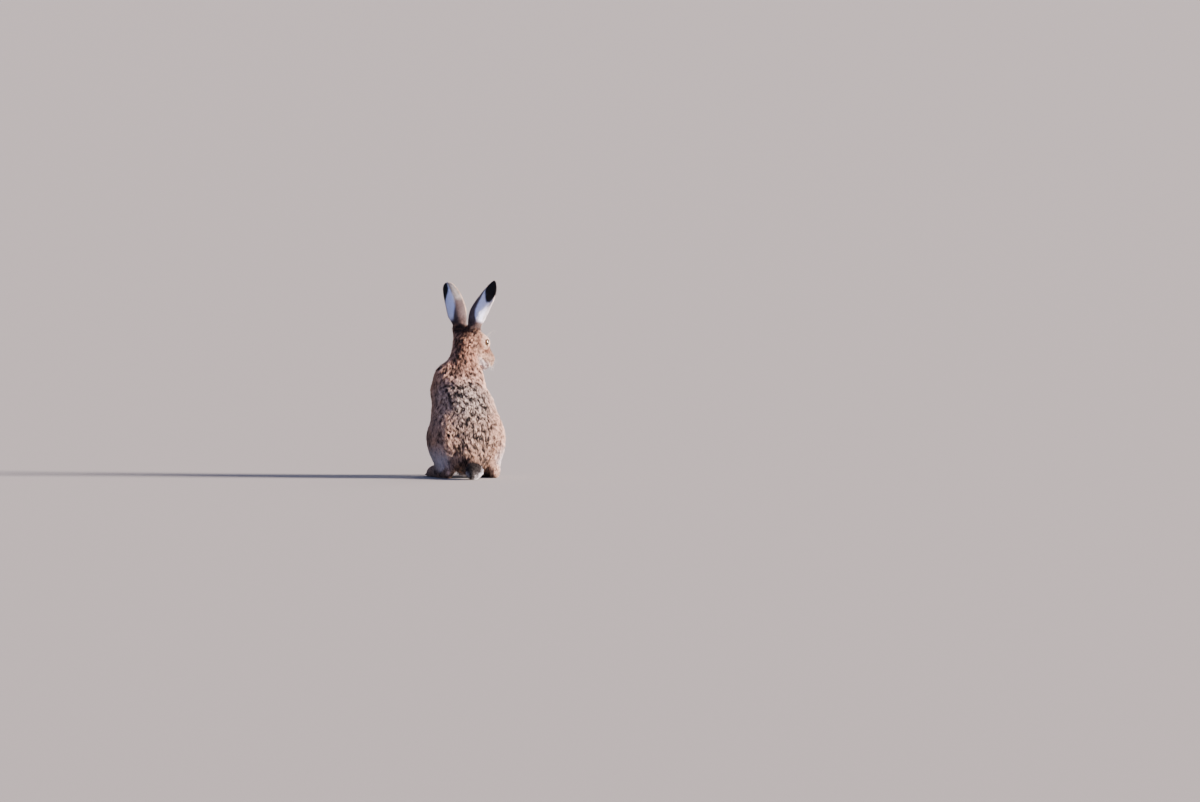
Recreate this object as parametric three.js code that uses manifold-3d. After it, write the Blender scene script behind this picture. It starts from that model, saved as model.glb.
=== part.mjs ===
// A brown hare sitting upright on the ground with its ears raised and its head turned to its right,
// life size. Millimetres, +Z up. The body faces -Y, so the hare's left side is at +X.
// Surfaces are the outside of the coat.

import * as THREE from "three";
import { mergeVertices } from "three/addons/utils/BufferGeometryUtils.js";
import Module from "manifold-3d";

const wasm = await Module();
wasm.setup();

// Driving sizes and angles of the animal
const HIND_FOOT = 142; // heel to toe tips
const EAR_FLAT_WIDTH = 64; // of the ear spread flat
const EYE_RADIUS = 10.5;
const HIND_CLAW = 11; // length
const FORE_CLAW = 10;
const HEAD_TURN = THREE.MathUtils.degToRad(67); // to its right
const HEAD_PITCH = THREE.MathUtils.degToRad(28); // nose down
const TORSO_WIDENING = 1.12; // the trunk is wider than it is deep
const TAIL_WIDENING = 1.2;
const LEAN = 6; // of the withers to the left
const GAP = 0.3; // between neighbouring pieces
const TOLERANCE = 0.08; // by which facets may lie off the true surface to save small ones

const SIDES = { left: 1, right: -1 };
const UP = [0, 0, 1];

// Landmarks of the skeleton in the body's frame; where there are two, the left one is given
const HIP = [40, 60, 78];
const KNEE = [53, -12, 90];
const HEEL = [54, 80, 12.6];
const HIND_BALL = [58, -26, 12];
const SHOULDER_TOP = [38, -6, 229];
const SHOULDER_POINT = [36, -38, 188];
const ELBOW = [44, -18, 135];
const WRIST = [27, -62, 42];
const FORE_BALL = [25, -76, 12];
const NECK_TOP = [-9, -21, 300];
const HEAD_CENTRE = [-30, -34, 304];
const TAIL_ROOT = [0, 100, 34];
const TAIL_MIDDLE = [5, 128, 19];
const TAIL_TIP = [14, 157, 14];

// Distance fields. Each is a function of a point that is negative inside the flesh.

const minus = (a, b) => [a[0] - b[0], a[1] - b[1], a[2] - b[2]];
const plus = (a, b) => [a[0] + b[0], a[1] + b[1], a[2] + b[2]];
const times = (a, s) => [a[0] * s, a[1] * s, a[2] * s];
const dot = (a, b) => a[0] * b[0] + a[1] * b[1] + a[2] * b[2];
const cross = (a, b) => [a[1] * b[2] - a[2] * b[1], a[2] * b[0] - a[0] * b[2], a[0] * b[1] - a[1] * b[0]];
const length = (a) => Math.sqrt(dot(a, a));
const onSide = (p, side) => [p[0] * side, p[1], p[2]];
const mix = (a, b, t) => plus(a, times(minus(b, a), t));

// A ball of radius ra at a joined by straight sides to a ball of radius rb at b
function limb(a, b, ra, rb) {
  const along = minus(b, a);
  const l2 = dot(along, along);
  const rr = ra - rb;
  const slant = l2 - rr * rr;
  return (p) => {
    const pa = minus(p, a);
    const y = dot(pa, along);
    const z = y - l2;
    const off = minus(times(pa, l2), times(along, y));
    const x2 = dot(off, off);
    const y2 = y * y * l2;
    const z2 = z * z * l2;
    const k = Math.sign(rr) * rr * rr * x2;
    if (Math.sign(z) * slant * z2 > k) return Math.sqrt(x2 + z2) / l2 - rb;
    if (Math.sign(y) * slant * y2 < k) return Math.sqrt(x2 + y2) / l2 - ra;
    return (Math.sqrt((x2 * slant) / l2) + y * rr) / l2 - ra;
  };
}

// An ellipsoid with half-sizes radii, nose down by tilt about the X axis
function lump(centre, radii, tilt = 0) {
  const c = Math.cos(tilt);
  const s = Math.sin(tilt);
  return (p) => {
    const q = minus(p, centre);
    const y = c * q[1] + s * q[2];
    const z = -s * q[1] + c * q[2];
    const scaled = [q[0] / radii[0], y / radii[1], z / radii[2]];
    const k0 = length(scaled);
    const k1 = length([scaled[0] / radii[0], scaled[1] / radii[1], scaled[2] / radii[2]]);
    return k1 === 0 ? -Math.min(...radii) : (k0 * (k0 - 1)) / k1;
  };
}

const ball = (centre, r) => (p) => length(minus(p, centre)) - r;

// Union with a fillet of width k
function blend(k, ...fields) {
  return (p) => {
    let d = fields[0](p);
    for (let i = 1; i < fields.length; i++) {
      const e = fields[i](p);
      const h = Math.max(k - Math.abs(d - e), 0) / k;
      d = Math.min(d, e) - (h * h * k) / 4;
    }
    return d;
  };
}

const pair = (make) => [make(SIDES.left), make(SIDES.right)];
const widened = (field, s) => (p) => field([p[0] / s, p[1], p[2]]);
const smooth = (lo, hi, x) => THREE.MathUtils.smoothstep(x, lo, hi);
// The withers lean to the left, against the turn of the head
const leaned = (field) => (p) => field([p[0] - LEAN * smooth(150, 235, p[2]), p[1], p[2]]);

// Trunk: rump on the ground, back arched up to the withers
const trunk = widened(
  blend(
    22,
    limb([0, 62, 52], [0, 46, 100], 48, 54),
    limb([0, 46, 100], [0, 12, 158], 54, 58),
    limb([0, 12, 158], [0, -18, 210], 58, 42),
    limb([0, -50, 196], [0, -44, 140], 27, 29),
    limb([0, -8, 66], [0, -20, 122], 42, 43),
  ),
  TORSO_WIDENING,
);
const shoulders = pair((side) =>
  blend(
    12,
    limb(onSide(SHOULDER_TOP, side), onSide(SHOULDER_POINT, side), 20, 25),
    limb(onSide(SHOULDER_POINT, side), onSide(ELBOW, side), 25, 20),
  ),
);
// With the head turned right, the scruff runs down from the left of the neck to the shoulder
const neck = blend(
  14,
  limb([-1, -12, 218], [-5, -16, 262], 38, 27),
  limb([-5, -16, 262], NECK_TOP, 27, 27),
  limb([12, -12, 262], [37, -7, 236], 13, 17.5),
);

// Hind leg: thigh, knee, shin and the long foot that lies flat
const haunch = (side) =>
  blend(
    16,
    lump(onSide([53, 32, 86], side), [35, 62, 66]),
    limb(onSide(HIP, side), onSide(KNEE, side), 36, 24),
    limb(onSide(KNEE, side), onSide([54, 66, 28], side), 23, 17),
  );
const TOES = [-1.5, -0.5, 0.5, 1.5];
const HIND_TOE = { spacing: 8.2, radius: 6.2, length: HIND_FOOT - (HEEL[1] - HIND_BALL[1]) - 16 };
const FORE_TOE = { spacing: 6.4, radius: 5.0, length: 15 };

// The toes fan out from the ball of a foot, the two middle ones longer than the outer ones
const OUTER_TOE = 0.72;
function toeLine(ballOfFoot, toe, i, side) {
  const middle = Math.abs(i) < 1;
  const from = plus(onSide(ballOfFoot, side), [i * toe.spacing * 0.8, 0, 0]);
  const reach = toe.length * (middle ? 1 : OUTER_TOE);
  return [from, plus(from, [i * toe.spacing * 0.28, -reach, toe.radius - 1 - ballOfFoot[2]])];
}
const toes = (ballOfFoot, toe, side) =>
  TOES.map((i) => limb(...toeLine(ballOfFoot, toe, i, side), toe.radius + 1, toe.radius));

const hindFoot = (side) =>
  blend(
    4,
    blend(
      10,
      limb(onSide(HEEL, side), onSide([56, 22, 14], side), 13.5, 15),
      limb(onSide([56, 22, 14], side), onSide(HIND_BALL, side), 15, 14),
      lump(onSide([58, -22, 10.5], side), [19, 20, 12]),
    ),
    ...toes(HIND_BALL, HIND_TOE, side),
  );

// Foreleg: straight down from the elbow beside the brisket
const foreleg = (side) => limb(onSide(ELBOW, side), onSide(WRIST, side), 20, 12);
const forePaw = (side) =>
  blend(
    3.5,
    blend(
      7,
      limb(onSide(WRIST, side), onSide(FORE_BALL, side), 12, 10.5),
      lump(onSide([25, -77, 9.7], side), [14.5, 12, 10.5]),
    ),
    ...toes(FORE_BALL, FORE_TOE, side),
  );

const tail = widened(
  blend(8, limb(TAIL_ROOT, TAIL_MIDDLE, 14, 17), limb(TAIL_MIDDLE, TAIL_TIP, 17, 11)),
  TAIL_WIDENING,
);

// Head, in its own frame: it faces -Y from the middle of the braincase
const EYE = [17.5, -22, 8];
const EAR_ROOT = { left: [24, 23, 17], right: [20, 21, 18] }; // middle of the tube that an ear starts as
const BROW = 1.5; // by which the flesh stands out round an eye
const skull = blend(
  10,
  blend(
    12,
    lump([0, 2, 0], [25, 34, 26]),
    lump([0, -14, 7], [22, 27, 20]),
    limb([0, -14, 3], [0, -58, -11], 21, 14),
    ...pair((side) => lump(onSide([14, -4, -19], side), [15, 28, 24])),
    ...pair((side) => lump(onSide([9, -36, -20], side), [12, 22, 14])),
    ...pair((side) => limb(onSide([10, 2, -31], side), onSide([3, -50, -34], side), 12, 8)),
  ),
  ...pair((side) => ball(onSide(EYE, side), EYE_RADIUS + BROW)),
  limb([18, 19, 5], [26, 25, 18], 18, 15),
  limb([-13, 17, 8], [-19, 21, 22], 16, 14),
);
const upperLip = blend(
  5,
  ...pair((side) => lump(onSide([6.5, -57.5, -22.5], side), [10, 17, 15.5])),
  ball([0, -69.5, -12], 8),
);
const chin = ball([0, -56, -38.5], 9);
const headField = blend(3.5, blend(8, skull, upperLip), chin);

const headFrame = new THREE.Group();
headFrame.position.set(...HEAD_CENTRE);
headFrame.rotation.set(HEAD_PITCH, 0, -HEAD_TURN, "ZXY");
headFrame.updateMatrixWorld(true);
const HEAD_MATRIX = headFrame.matrixWorld.clone();
const HEAD_INVERSE = HEAD_MATRIX.clone().invert();

function moved(matrix) {
  const e = matrix.elements;
  return (p) => [
    e[0] * p[0] + e[4] * p[1] + e[8] * p[2] + e[12],
    e[1] * p[0] + e[5] * p[1] + e[9] * p[2] + e[13],
    e[2] * p[0] + e[6] * p[1] + e[10] * p[2] + e[14],
  ];
}
const toHead = moved(HEAD_INVERSE);
const fromHead = moved(HEAD_MATRIX);
const turnFromHead = (direction) => minus(fromHead(direction), fromHead([0, 0, 0]));

const trunkAndNeck = blend(18, leaned(blend(18, trunk, ...shoulders)), neck);
const upperBody = blend(15, trunkAndNeck, (p) => headField(toHead(p)));
const hare = blend(
  9,
  blend(16, upperBody, ...pair(haunch), ...pair(foreleg)),
  ...pair(hindFoot),
  ...pair(forePaw),
  tail,
);

// Meshing. A field is sampled on a box of cells whose faces may be unevenly spaced.

// Evenly spaced grid lines from lo to hi, about cell apart
function even(lo, hi, cell) {
  const n = Math.ceil((hi - lo) / cell);
  return Array.from({ length: n + 1 }, (_, i) => lo + ((hi - lo) * i) / n);
}

function gradient(field, p) {
  const h = 0.05;
  return [0, 1, 2].map((i) => {
    const up = [...p];
    const down = [...p];
    up[i] += h;
    down[i] -= h;
    return (field(up) - field(down)) / (2 * h);
  });
}

// Moves a point along the field's slope until the field has the given value there
function settle(field, p, level = 0, mostSteps = 4) {
  let q = p;
  for (let step = 0; step < mostSteps; step++) {
    const g = gradient(field, q);
    const g2 = Math.max(dot(g, g), 0.05);
    q = minus(q, times(g, (field(q) - level) / g2));
  }
  return q;
}

// The surface where the field is zero, one vertex in each cell that it crosses, closed at the box's sides
function surface(field, xs, ys, zs) {
  const [nx, ny, nz] = [xs.length, ys.length, zs.length];
  const inner = [xs, ys, zs].map((line) => [line[1], line[line.length - 2]]);
  const boxed = (p) => {
    let d = field(p);
    for (let i = 0; i < 3; i++) d = Math.max(d, inner[i][0] - p[i] + 0.01, p[i] - inner[i][1] + 0.01);
    return d;
  };
  const at = (i, j, k) => i + nx * (j + ny * k);
  const value = new Float64Array(nx * ny * nz);
  for (let k = 0; k < nz; k++)
    for (let j = 0; j < ny; j++)
      for (let i = 0; i < nx; i++) value[at(i, j, k)] = boxed([xs[i], ys[j], zs[k]]);

  // Each cell gets one vertex for each group of its inner corners that hang together
  const vertexOf = new Map();
  const points = [];
  const corners = [0, 1, 2, 3, 4, 5, 6, 7].map((c) => [c & 1, (c >> 1) & 1, (c >> 2) & 1]);
  for (let k = 0; k < nz - 1; k++)
    for (let j = 0; j < ny - 1; j++)
      for (let i = 0; i < nx - 1; i++) {
        const v = corners.map(([a, b, c]) => value[at(i + a, j + b, k + c)]);
        const inside = v.filter((d) => d < 0).length;
        if (inside === 0 || inside === 8) continue;
        const vertexAt = new Array(8).fill(-1);
        for (let first = 0; first < 8; first++) {
          if (v[first] >= 0 || vertexAt[first] >= 0) continue;
          const group = [first];
          vertexAt[first] = points.length;
          let sum = [0, 0, 0];
          let count = 0;
          for (const a of group)
            for (let axis = 0; axis < 3; axis++) {
              const b = a ^ (1 << axis);
              if (v[b] >= 0) {
                const t = v[a] / (v[a] - v[b]);
                sum = plus(sum, mix(corners[a], corners[b], t));
                count++;
              } else if (vertexAt[b] < 0) {
                vertexAt[b] = points.length;
                group.push(b);
              }
            }
          const [u, w, h] = times(sum, 1 / count);
          const start = [
            xs[i] + u * (xs[i + 1] - xs[i]),
            ys[j] + w * (ys[j + 1] - ys[j]),
            zs[k] + h * (zs[k + 1] - zs[k]),
          ];
          points.push(settle(boxed, start));
        }
        vertexOf.set(at(i, j, k), vertexAt);
      }

  const triangles = [];
  const quad = (a, b, c, d) => {
    const short = length(minus(points[a], points[c])) < length(minus(points[b], points[d]));
    if (short) triangles.push(a, b, c, a, c, d);
    else triangles.push(b, c, d, b, d, a);
  };
  for (let k = 1; k < nz - 1; k++)
    for (let j = 1; j < ny - 1; j++)
      for (let i = 1; i < nx - 1; i++) {
        const here = value[at(i, j, k)] < 0;
        [at(i + 1, j, k), at(i, j + 1, k), at(i, j, k + 1)].forEach((next, axis) => {
          if (value[next] < 0 === here) return;
          const far = here ? 0 : 1 << axis;
          const [s1, s2] = [(axis + 1) % 3, (axis + 2) % 3];
          const step = [1, nx, nx * ny];
          const ring = [[0, 0], [1, 0], [1, 1], [0, 1]].map(([p, q]) => {
            const cell = at(i, j, k) - p * step[s1] - q * step[s2];
            return vertexOf.get(cell)[far | (p << s1) | (q << s2)];
          });
          if (here) quad(...ring);
          else quad(...ring.reverse());
        });
      }
  return { points, triangles };
}

// Solids

function solidFrom(points, triangles) {
  const solid = new wasm.Manifold(
    new wasm.Mesh({
      numProp: 3,
      vertProperties: new Float32Array(points.flat()),
      triVerts: new Uint32Array(triangles),
    }),
  );
  if (solid.volume() >= 0) return solid;
  const turned = triangles.map((_, i) => triangles[i - (i % 3) + 2 - (i % 3)]);
  return solidFrom(points, turned);
}

// A three.js geometry, moved by a matrix, as a solid
function solidOf(geometry, matrix = new THREE.Matrix4()) {
  const g = geometry.clone().applyMatrix4(matrix);
  g.deleteAttribute("normal");
  g.deleteAttribute("uv");
  const merged = mergeVertices(g, 1e-4);
  const position = merged.getAttribute("position");
  const points = Array.from({ length: position.count }, (_, i) => [
    position.getX(i),
    position.getY(i),
    position.getZ(i),
  ]);
  return solidFrom(points, Array.from(merged.index.array));
}

const largest = (solid) =>
  solid.decompose().reduce((best, s) => (s.volume() > best.volume() ? s : best));

const FINEST = 0.06; // height of the thinnest sliver kept

// Drops the small facets that cuts leave, wherever the surface stays within a tolerance of where it was
function lightened(solid, tolerance) {
  const { vertProperties, triVerts } = solid.getMesh();
  const points = Array.from({ length: vertProperties.length / 3 }, (_, i) =>
    Array.from(vertProperties.subarray(3 * i, 3 * i + 3)),
  );
  const faces = Array.from({ length: triVerts.length / 3 }, (_, i) =>
    Array.from(triVerts.subarray(3 * i, 3 * i + 3)),
  );
  const facesOf = points.map(() => new Set());
  faces.forEach((face, i) => face.forEach((v) => facesOf[v].add(i)));
  const drift = new Float64Array(points.length);
  const neighbours = (v) => {
    const found = new Set([...facesOf[v]].flatMap((i) => faces[i]));
    found.delete(v);
    return found;
  };
  const across = (a, b, c) => cross(minus(b, a), minus(c, a));
  const thinness = (a, b, c) =>
    length(across(a, b, c)) / Math.max(length(minus(b, a)), length(minus(c, b)), length(minus(a, c)));

  function canGo(v, u) {
    const shift = minus(points[u], points[v]);
    const common = [...neighbours(v)].filter((n) => n !== u && neighbours(u).has(n));
    if (common.length !== 2 || drift[v] + drift[u] > 2 * tolerance) return false;
    for (const i of facesOf[v]) {
      const before = faces[i].map((n) => points[n]);
      const normal = across(...before);
      const area = length(normal);
      const thin = thinness(...before) < FINEST;
      if (!thin && Math.abs(dot(normal, shift)) / area > tolerance) return false;
      if (faces[i].includes(u)) continue;
      const after = faces[i].map((n) => (n === v ? points[u] : points[n]));
      if (thinness(...after) < FINEST) return false;
      const turned = across(...after);
      if (!thin && dot(normal, turned) < 0.5 * area * length(turned)) return false;
    }
    return true;
  }
  for (let pass = 0; pass < 4; pass++)
    for (let v = 0; v < points.length; v++) {
      const near = (u) => length(minus(points[u], points[v]));
      const u = [...neighbours(v)].sort((a, b) => near(a) - near(b)).find((n) => canGo(v, n));
      if (u === undefined) continue;
      drift[u] = Math.max(drift[u], drift[v] + tolerance / 4);
      for (const i of facesOf[v]) {
        if (faces[i].includes(u)) {
          faces[i].forEach((n) => facesOf[n] !== facesOf[v] && facesOf[n].delete(i));
          faces[i] = null;
        } else {
          faces[i] = faces[i].map((n) => (n === v ? u : n));
          facesOf[u].add(i);
        }
      }
      facesOf[v] = new Set();
    }
  return solidFrom(points, faces.filter((face) => face !== null).flat());
}

// A solid's surface between box corners lo and hi, with cells of one size
const around = (field, lo, hi, cell) =>
  surface(field, even(lo[0], hi[0], cell), even(lo[1], hi[1], cell), even(lo[2], hi[2], cell));

// The same region twice: as it is, and grown by the gap, face for face
function region(field, lo, hi, cell) {
  const { points, triangles } = around(field, lo, hi, cell);
  const grown = points.map((p) => settle(field, p, GAP));
  return { as_is: solidFrom(points, triangles), grown: solidFrom(grown, triangles) };
}

// Everything on one side of a plane, and that grown by the gap
function halfSpace(point, outward) {
  const normal = new THREE.Vector3(...outward).normalize();
  const turn = new THREE.Quaternion().setFromUnitVectors(new THREE.Vector3(0, 0, 1), normal);
  const size = 900;
  const at = (shift) => {
    const centre = new THREE.Vector3(...point).addScaledVector(normal, shift + size / 2);
    return solidOf(
      new THREE.BoxGeometry(size, size, size),
      new THREE.Matrix4().compose(centre, turn, new THREE.Vector3(1, 1, 1)),
    );
  };
  return { as_is: at(0), grown: at(-GAP) };
}

// What lies in both of two regions
function corner(a, b) {
  return { as_is: a.as_is.intersect(b.as_is), grown: a.grown.intersect(b.grown) };
}

const aboveGround = halfSpace([0, 0, 0], UP).as_is;
// Corners of a box given for the left side, on either side
const boxOn = (side, x0, x1, y0, y1, z0, z1) =>
  side > 0 ? [[x0, y0, z0], [x1, y1, z1]] : [[-x1, y0, z0], [-x0, y1, z1]];

// Regions that part the whole animal into its named pieces, each cut before the next
const CELL = { trunk: 15, haunch: 12.5, limb: 9.5, forepaw: 6, hindFoot: 6.6, tail: 9, neck: 10 };
const CUT_CELL = { haunch: 14, limb: 10, hindFoot: 11 };

const cuts = {
  head: corner(
    halfSpace(fromHead([0, 30, -8]), turnFromHead([0, -0.85, 0.53])),
    halfSpace(fromHead([0, 0, -47]), turnFromHead([0, -0.2, 1])),
  ),
  neck: halfSpace([0, -20, 248], [0, -0.12, 1]),
};
for (const [name, side] of Object.entries(SIDES)) {
  const paw = limb(onSide([26, -62, 30], side), onSide([26, -86, 0], side), 20, 34);
  cuts["forepaw_" + name] = region(paw, ...boxOn(side, -20, 70, -130, -36, -40, 56), CUT_CELL.limb);
  const leg = limb(onSide(ELBOW, side), onSide(WRIST, side), 23, 17);
  cuts["foreleg_" + name] = region(leg, ...boxOn(side, 0, 76, -90, 16, 14, 168), CUT_CELL.limb);
  const foot = limb(onSide([56, 84, 2], side), onSide([60, -50, 4], side), 26, 27);
  cuts["hind_foot_" + name] = region(foot, ...boxOn(side, 22, 96, -90, 120, -32, 40), CUT_CELL.hindFoot);
  const thigh = lump(onSide([98, 24, 82], side), [64, 84, 78]);
  cuts["haunch_" + name] = region(thigh, ...boxOn(side, 20, 176, -74, 122, -12, 176), CUT_CELL.haunch);
}
const tailEnd = limb([1, 125, 27], [22, 172, 15], 23, 30);
cuts.tail = region(tailEnd, [-40, 84, -30], [66, 215, 64], CUT_CELL.limb);

// Where each piece is sampled, and how finely
const reach = {
  tail: [[-40, 84, -20], [60, 190, 70], CELL.tail],
  neck: [[-66, -90, 205], [66, 60, 345], CELL.neck],
  torso: [[-108, -112, -22], [108, 138, 290], CELL.trunk],
};
for (const [name, side] of Object.entries(SIDES)) {
  reach["forepaw_" + name] = [...boxOn(side, -16, 66, -120, -30, -16, 62), CELL.forepaw];
  reach["foreleg_" + name] = [...boxOn(side, -6, 84, -96, 26, 12, 172), CELL.limb];
  reach["hind_foot_" + name] = [...boxOn(side, 20, 100, -84, 124, -16, 44), CELL.hindFoot];
  reach["haunch_" + name] = [...boxOn(side, 12, 112, -74, 124, -10, 176), CELL.haunch];
}

// The head is sampled in its own frame, finest at the face
const HEAD_CELL = { face: 4.6, back: 8, across: 4.9 };
const headSurface = surface(
  (p) => hare(fromHead(p)),
  even(-44, 44, HEAD_CELL.across),
  [...even(-92, 0, HEAD_CELL.face), ...even(0, 66, HEAD_CELL.back).slice(1)],
  even(-66, 50, HEAD_CELL.across),
);
const headWorld = headSurface.points.map(fromHead);
const headFlesh = solidFrom(headWorld, headSurface.triangles);
const headGrown = solidFrom(
  headWorld.map((p) => settle(hare, p, GAP)),
  headSurface.triangles,
);

const solids = {};
const taken = [];
function partOff(name, flesh) {
  let piece = flesh.intersect(cuts[name].as_is);
  for (const other of taken) piece = piece.subtract(other);
  taken.push(cuts[name].grown);
  solids[name] = largest(piece.intersect(aboveGround));
}
partOff("head", headFlesh);
for (const name of Object.keys(cuts)) {
  if (name === "head") continue;
  const { points, triangles } = around(hare, ...reach[name]);
  partOff(name, solidFrom(points, triangles));
}
const { points: torsoPoints, triangles: torsoTriangles } = around(hare, ...reach.torso);
let torso = solidFrom(torsoPoints, torsoTriangles).intersect(aboveGround);
for (const other of taken) torso = torso.subtract(other);
solids.torso = largest(torso);

// Ears. Along each ear, v runs from the skull to the tip; across it, the angle runs round the back.

const EAR_TIP = { left: [96, 61, 114], right: [88, 63, 119] };
const EAR_RISE = { left: [0.38, 0.54, 1], right: [0.01, 0.31, 1] }; // way in which an ear leaves the skull
const EAR_TWIST = { left: 0.46, right: -0.41 }; // turns the opening outwards
const EAR_WIDEST = 0.4; // share of the length up to which the ear is at its full width
const EAR_CURL = { root: 13.4, tip: 22.9 }; // radius that it is rolled to
const EAR_WALL = { root: 3.4, tip: 2.1 };
const EAR_ROWS = 19;
const EAR_COLUMNS = 11;

// Width of the ear spread flat: full up to the middle, then narrowing in a curve to the tip
function earWidth(v) {
  const upper = Math.max(0, (v - EAR_WIDEST) / (1 - EAR_WIDEST));
  const base = THREE.MathUtils.lerp(0.9, 1, smooth(0, 0.32, v));
  return EAR_FLAT_WIDTH * base * Math.sqrt(1 - Math.pow(upper, 1.32));
}
const earCurl = (v) => THREE.MathUtils.lerp(EAR_CURL.root, EAR_CURL.tip, smooth(0, EAR_WIDEST, v));
const earWall = (v) => THREE.MathUtils.lerp(EAR_WALL.root, EAR_WALL.tip, v);

function earSolid(name, side) {
  const root = new THREE.Vector3(...onSide(EAR_ROOT[name], side));
  const tip = new THREE.Vector3(...onSide(EAR_TIP[name], side));
  const rise = new THREE.Vector3(...onSide(EAR_RISE[name], side)).normalize();
  const bend = root.clone().addScaledVector(rise, 0.45 * root.distanceTo(tip));
  const path = new THREE.QuadraticBezierCurve3(root, bend, tip);
  const points = [];
  const sections = 2 * (EAR_COLUMNS + 1);
  for (let i = 0; i <= EAR_ROWS; i++) {
    const v = Math.min(i / EAR_ROWS, 0.994);
    const tangent = path.getTangent(v);
    const twist = -side * EAR_TWIST[name];
    const back = new THREE.Vector3(Math.sin(twist), Math.cos(twist), 0);
    back.addScaledVector(tangent, -back.dot(tangent)).normalize();
    const across = new THREE.Vector3().crossVectors(back, tangent);
    const r = earCurl(v);
    const half = Math.min(earWidth(v) / 2 / r, 2.5);
    const centre = path.getPoint(v).addScaledVector(back, -r * smooth(0, 1, v));
    const open = smooth(0.08, 0.3, v);
    const put = (angle, radius) =>
      centre
        .clone()
        .addScaledVector(back, radius * Math.cos(angle))
        .addScaledVector(across, radius * Math.sin(angle));
    for (let j = 0; j <= EAR_COLUMNS; j++) {
      const angle = half * ((2 * j) / EAR_COLUMNS - 1);
      points.push(put(angle, r));
    }
    for (let j = 0; j <= EAR_COLUMNS; j++) {
      const share = 1 - (2 * j) / EAR_COLUMNS;
      const wall = earWall(v) * (1 - 0.5 * share * share);
      const cup = put(half * share, r - wall);
      const filled = put(half + ((2 * Math.PI - 2 * half) * (j + 0.5)) / (EAR_COLUMNS + 1), r);
      points.push(filled.lerp(cup, open));
    }
  }
  const triangles = [];
  const at = (i, j) => i * sections + (j % sections);
  for (let i = 0; i < EAR_ROWS; i++)
    for (let j = 0; j < sections; j++) {
      triangles.push(at(i, j), at(i, j + 1), at(i + 1, j + 1));
      triangles.push(at(i, j), at(i + 1, j + 1), at(i + 1, j));
    }
  for (const i of [0, EAR_ROWS]) {
    const ring = Array.from({ length: sections }, (_, j) => points[at(i, j)]);
    const middle = ring.reduce((sum, p) => sum.add(p), new THREE.Vector3()).divideScalar(sections);
    const hub = points.push(middle) - 1;
    for (let j = 0; j < sections; j++) {
      if (i === 0) triangles.push(hub, at(i, j + 1), at(i, j));
      else triangles.push(hub, at(i, j), at(i, j + 1));
    }
  }
  const world = points.map((p) => fromHead(p.toArray()));
  return solidFrom(world, triangles);
}
for (const [name, side] of Object.entries(SIDES)) {
  solids["ear_" + name] = largest(earSolid(name, side).subtract(headGrown));
}

// Eyes, with the socket, the opening between the lids and the raised lid margin cut round them

const EYE_LOOK = [0.95, -0.25, 0.12];
const LID_OPENING = 8.6; // half the length of the opening, which is a little lower than long
const LID_SLIM = 0.84;
const LID_SLANT = 0.2; // the front corner of the eye is the lower one
const LID_MARGIN = 1.25; // radius of the raised rim
const LID_DEPTH = { opening: 4, rim: 7.6 }; // in front of the middle of the eye
const eyeSphere = (r) => new THREE.SphereGeometry(r, 16, 10);
function eyeMatrix(side) {
  const look = new THREE.Vector3(...onSide(EYE_LOOK, side)).normalize();
  const turn = new THREE.Matrix4().lookAt(look, new THREE.Vector3(), new THREE.Vector3(0, 0, 1));
  turn.setPosition(...onSide(EYE, side));
  return turn;
}
function cutEye(head, side) {
  const place = HEAD_MATRIX.clone().multiply(eyeMatrix(side));
  const lying = (z) =>
    place
      .clone()
      .multiply(new THREE.Matrix4().makeTranslation(0, 0, z))
      .multiply(new THREE.Matrix4().makeRotationZ(side * LID_SLANT))
      .multiply(new THREE.Matrix4().makeScale(1, LID_SLIM, 1));
  const depth = 22;
  const opening = new THREE.CylinderGeometry(LID_OPENING, LID_OPENING + 4, depth, 28);
  opening.rotateX(-Math.PI / 2).translate(0, 0, depth / 2);
  const rim = new THREE.TorusGeometry(LID_OPENING + 0.5, LID_MARGIN, 6, 28);
  return head
    .subtract(solidOf(opening, lying(LID_DEPTH.opening)))
    .add(solidOf(rim, lying(LID_DEPTH.rim)))
    .subtract(solidOf(eyeSphere(EYE_RADIUS + GAP), place));
}

// Nostrils, the cleft under the nose and the line of the mouth
const LIP_LINE = [
  [19, -40, -28],
  [17, -52, -31],
  [11, -66, -34],
  [4.5, -74, -33],
];
const GROOVE = 0.9; // radius of the line of the mouth
function cutMuzzle(head) {
  const both = [...LIP_LINE, ...LIP_LINE.map((p) => onSide(p, -1)).reverse()];
  const line = both.map((p) => new THREE.Vector3(...settle(headField, p)));
  const extrudePath = new THREE.CatmullRomCurve3(line);
  const section = new THREE.Shape(new THREE.EllipseCurve(0, 0, GROOVE, GROOVE).getPoints(6));
  const groove = new THREE.ExtrudeGeometry(section, { steps: 36, bevelEnabled: false, extrudePath });
  let cut = head.subtract(solidOf(groove, HEAD_MATRIX));
  const cleft = new THREE.BoxGeometry(1.1, 6, 17);
  const cleftPlace = new THREE.Matrix4()
    .makeTranslation(0, -80, -25)
    .multiply(new THREE.Matrix4().makeRotationX(-0.42));
  cut = cut.subtract(solidOf(cleft, HEAD_MATRIX.clone().multiply(cleftPlace)));
  for (const side of Object.values(SIDES)) {
    const nostril = new THREE.SphereGeometry(1, 12, 8).scale(4.6, 3, 1.5);
    const place = new THREE.Matrix4()
      .makeTranslation(side * 5.2, -80, -12.5)
      .multiply(new THREE.Matrix4().makeRotationZ(side * 0.6))
      .multiply(new THREE.Matrix4().makeRotationY(side * 0.6));
    cut = cut.subtract(solidOf(nostril, HEAD_MATRIX.clone().multiply(place)));
  }
  return cut;
}
for (const side of Object.values(SIDES)) solids.head = cutEye(solids.head, side);
solids.head = largest(cutMuzzle(solids.head));

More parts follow.
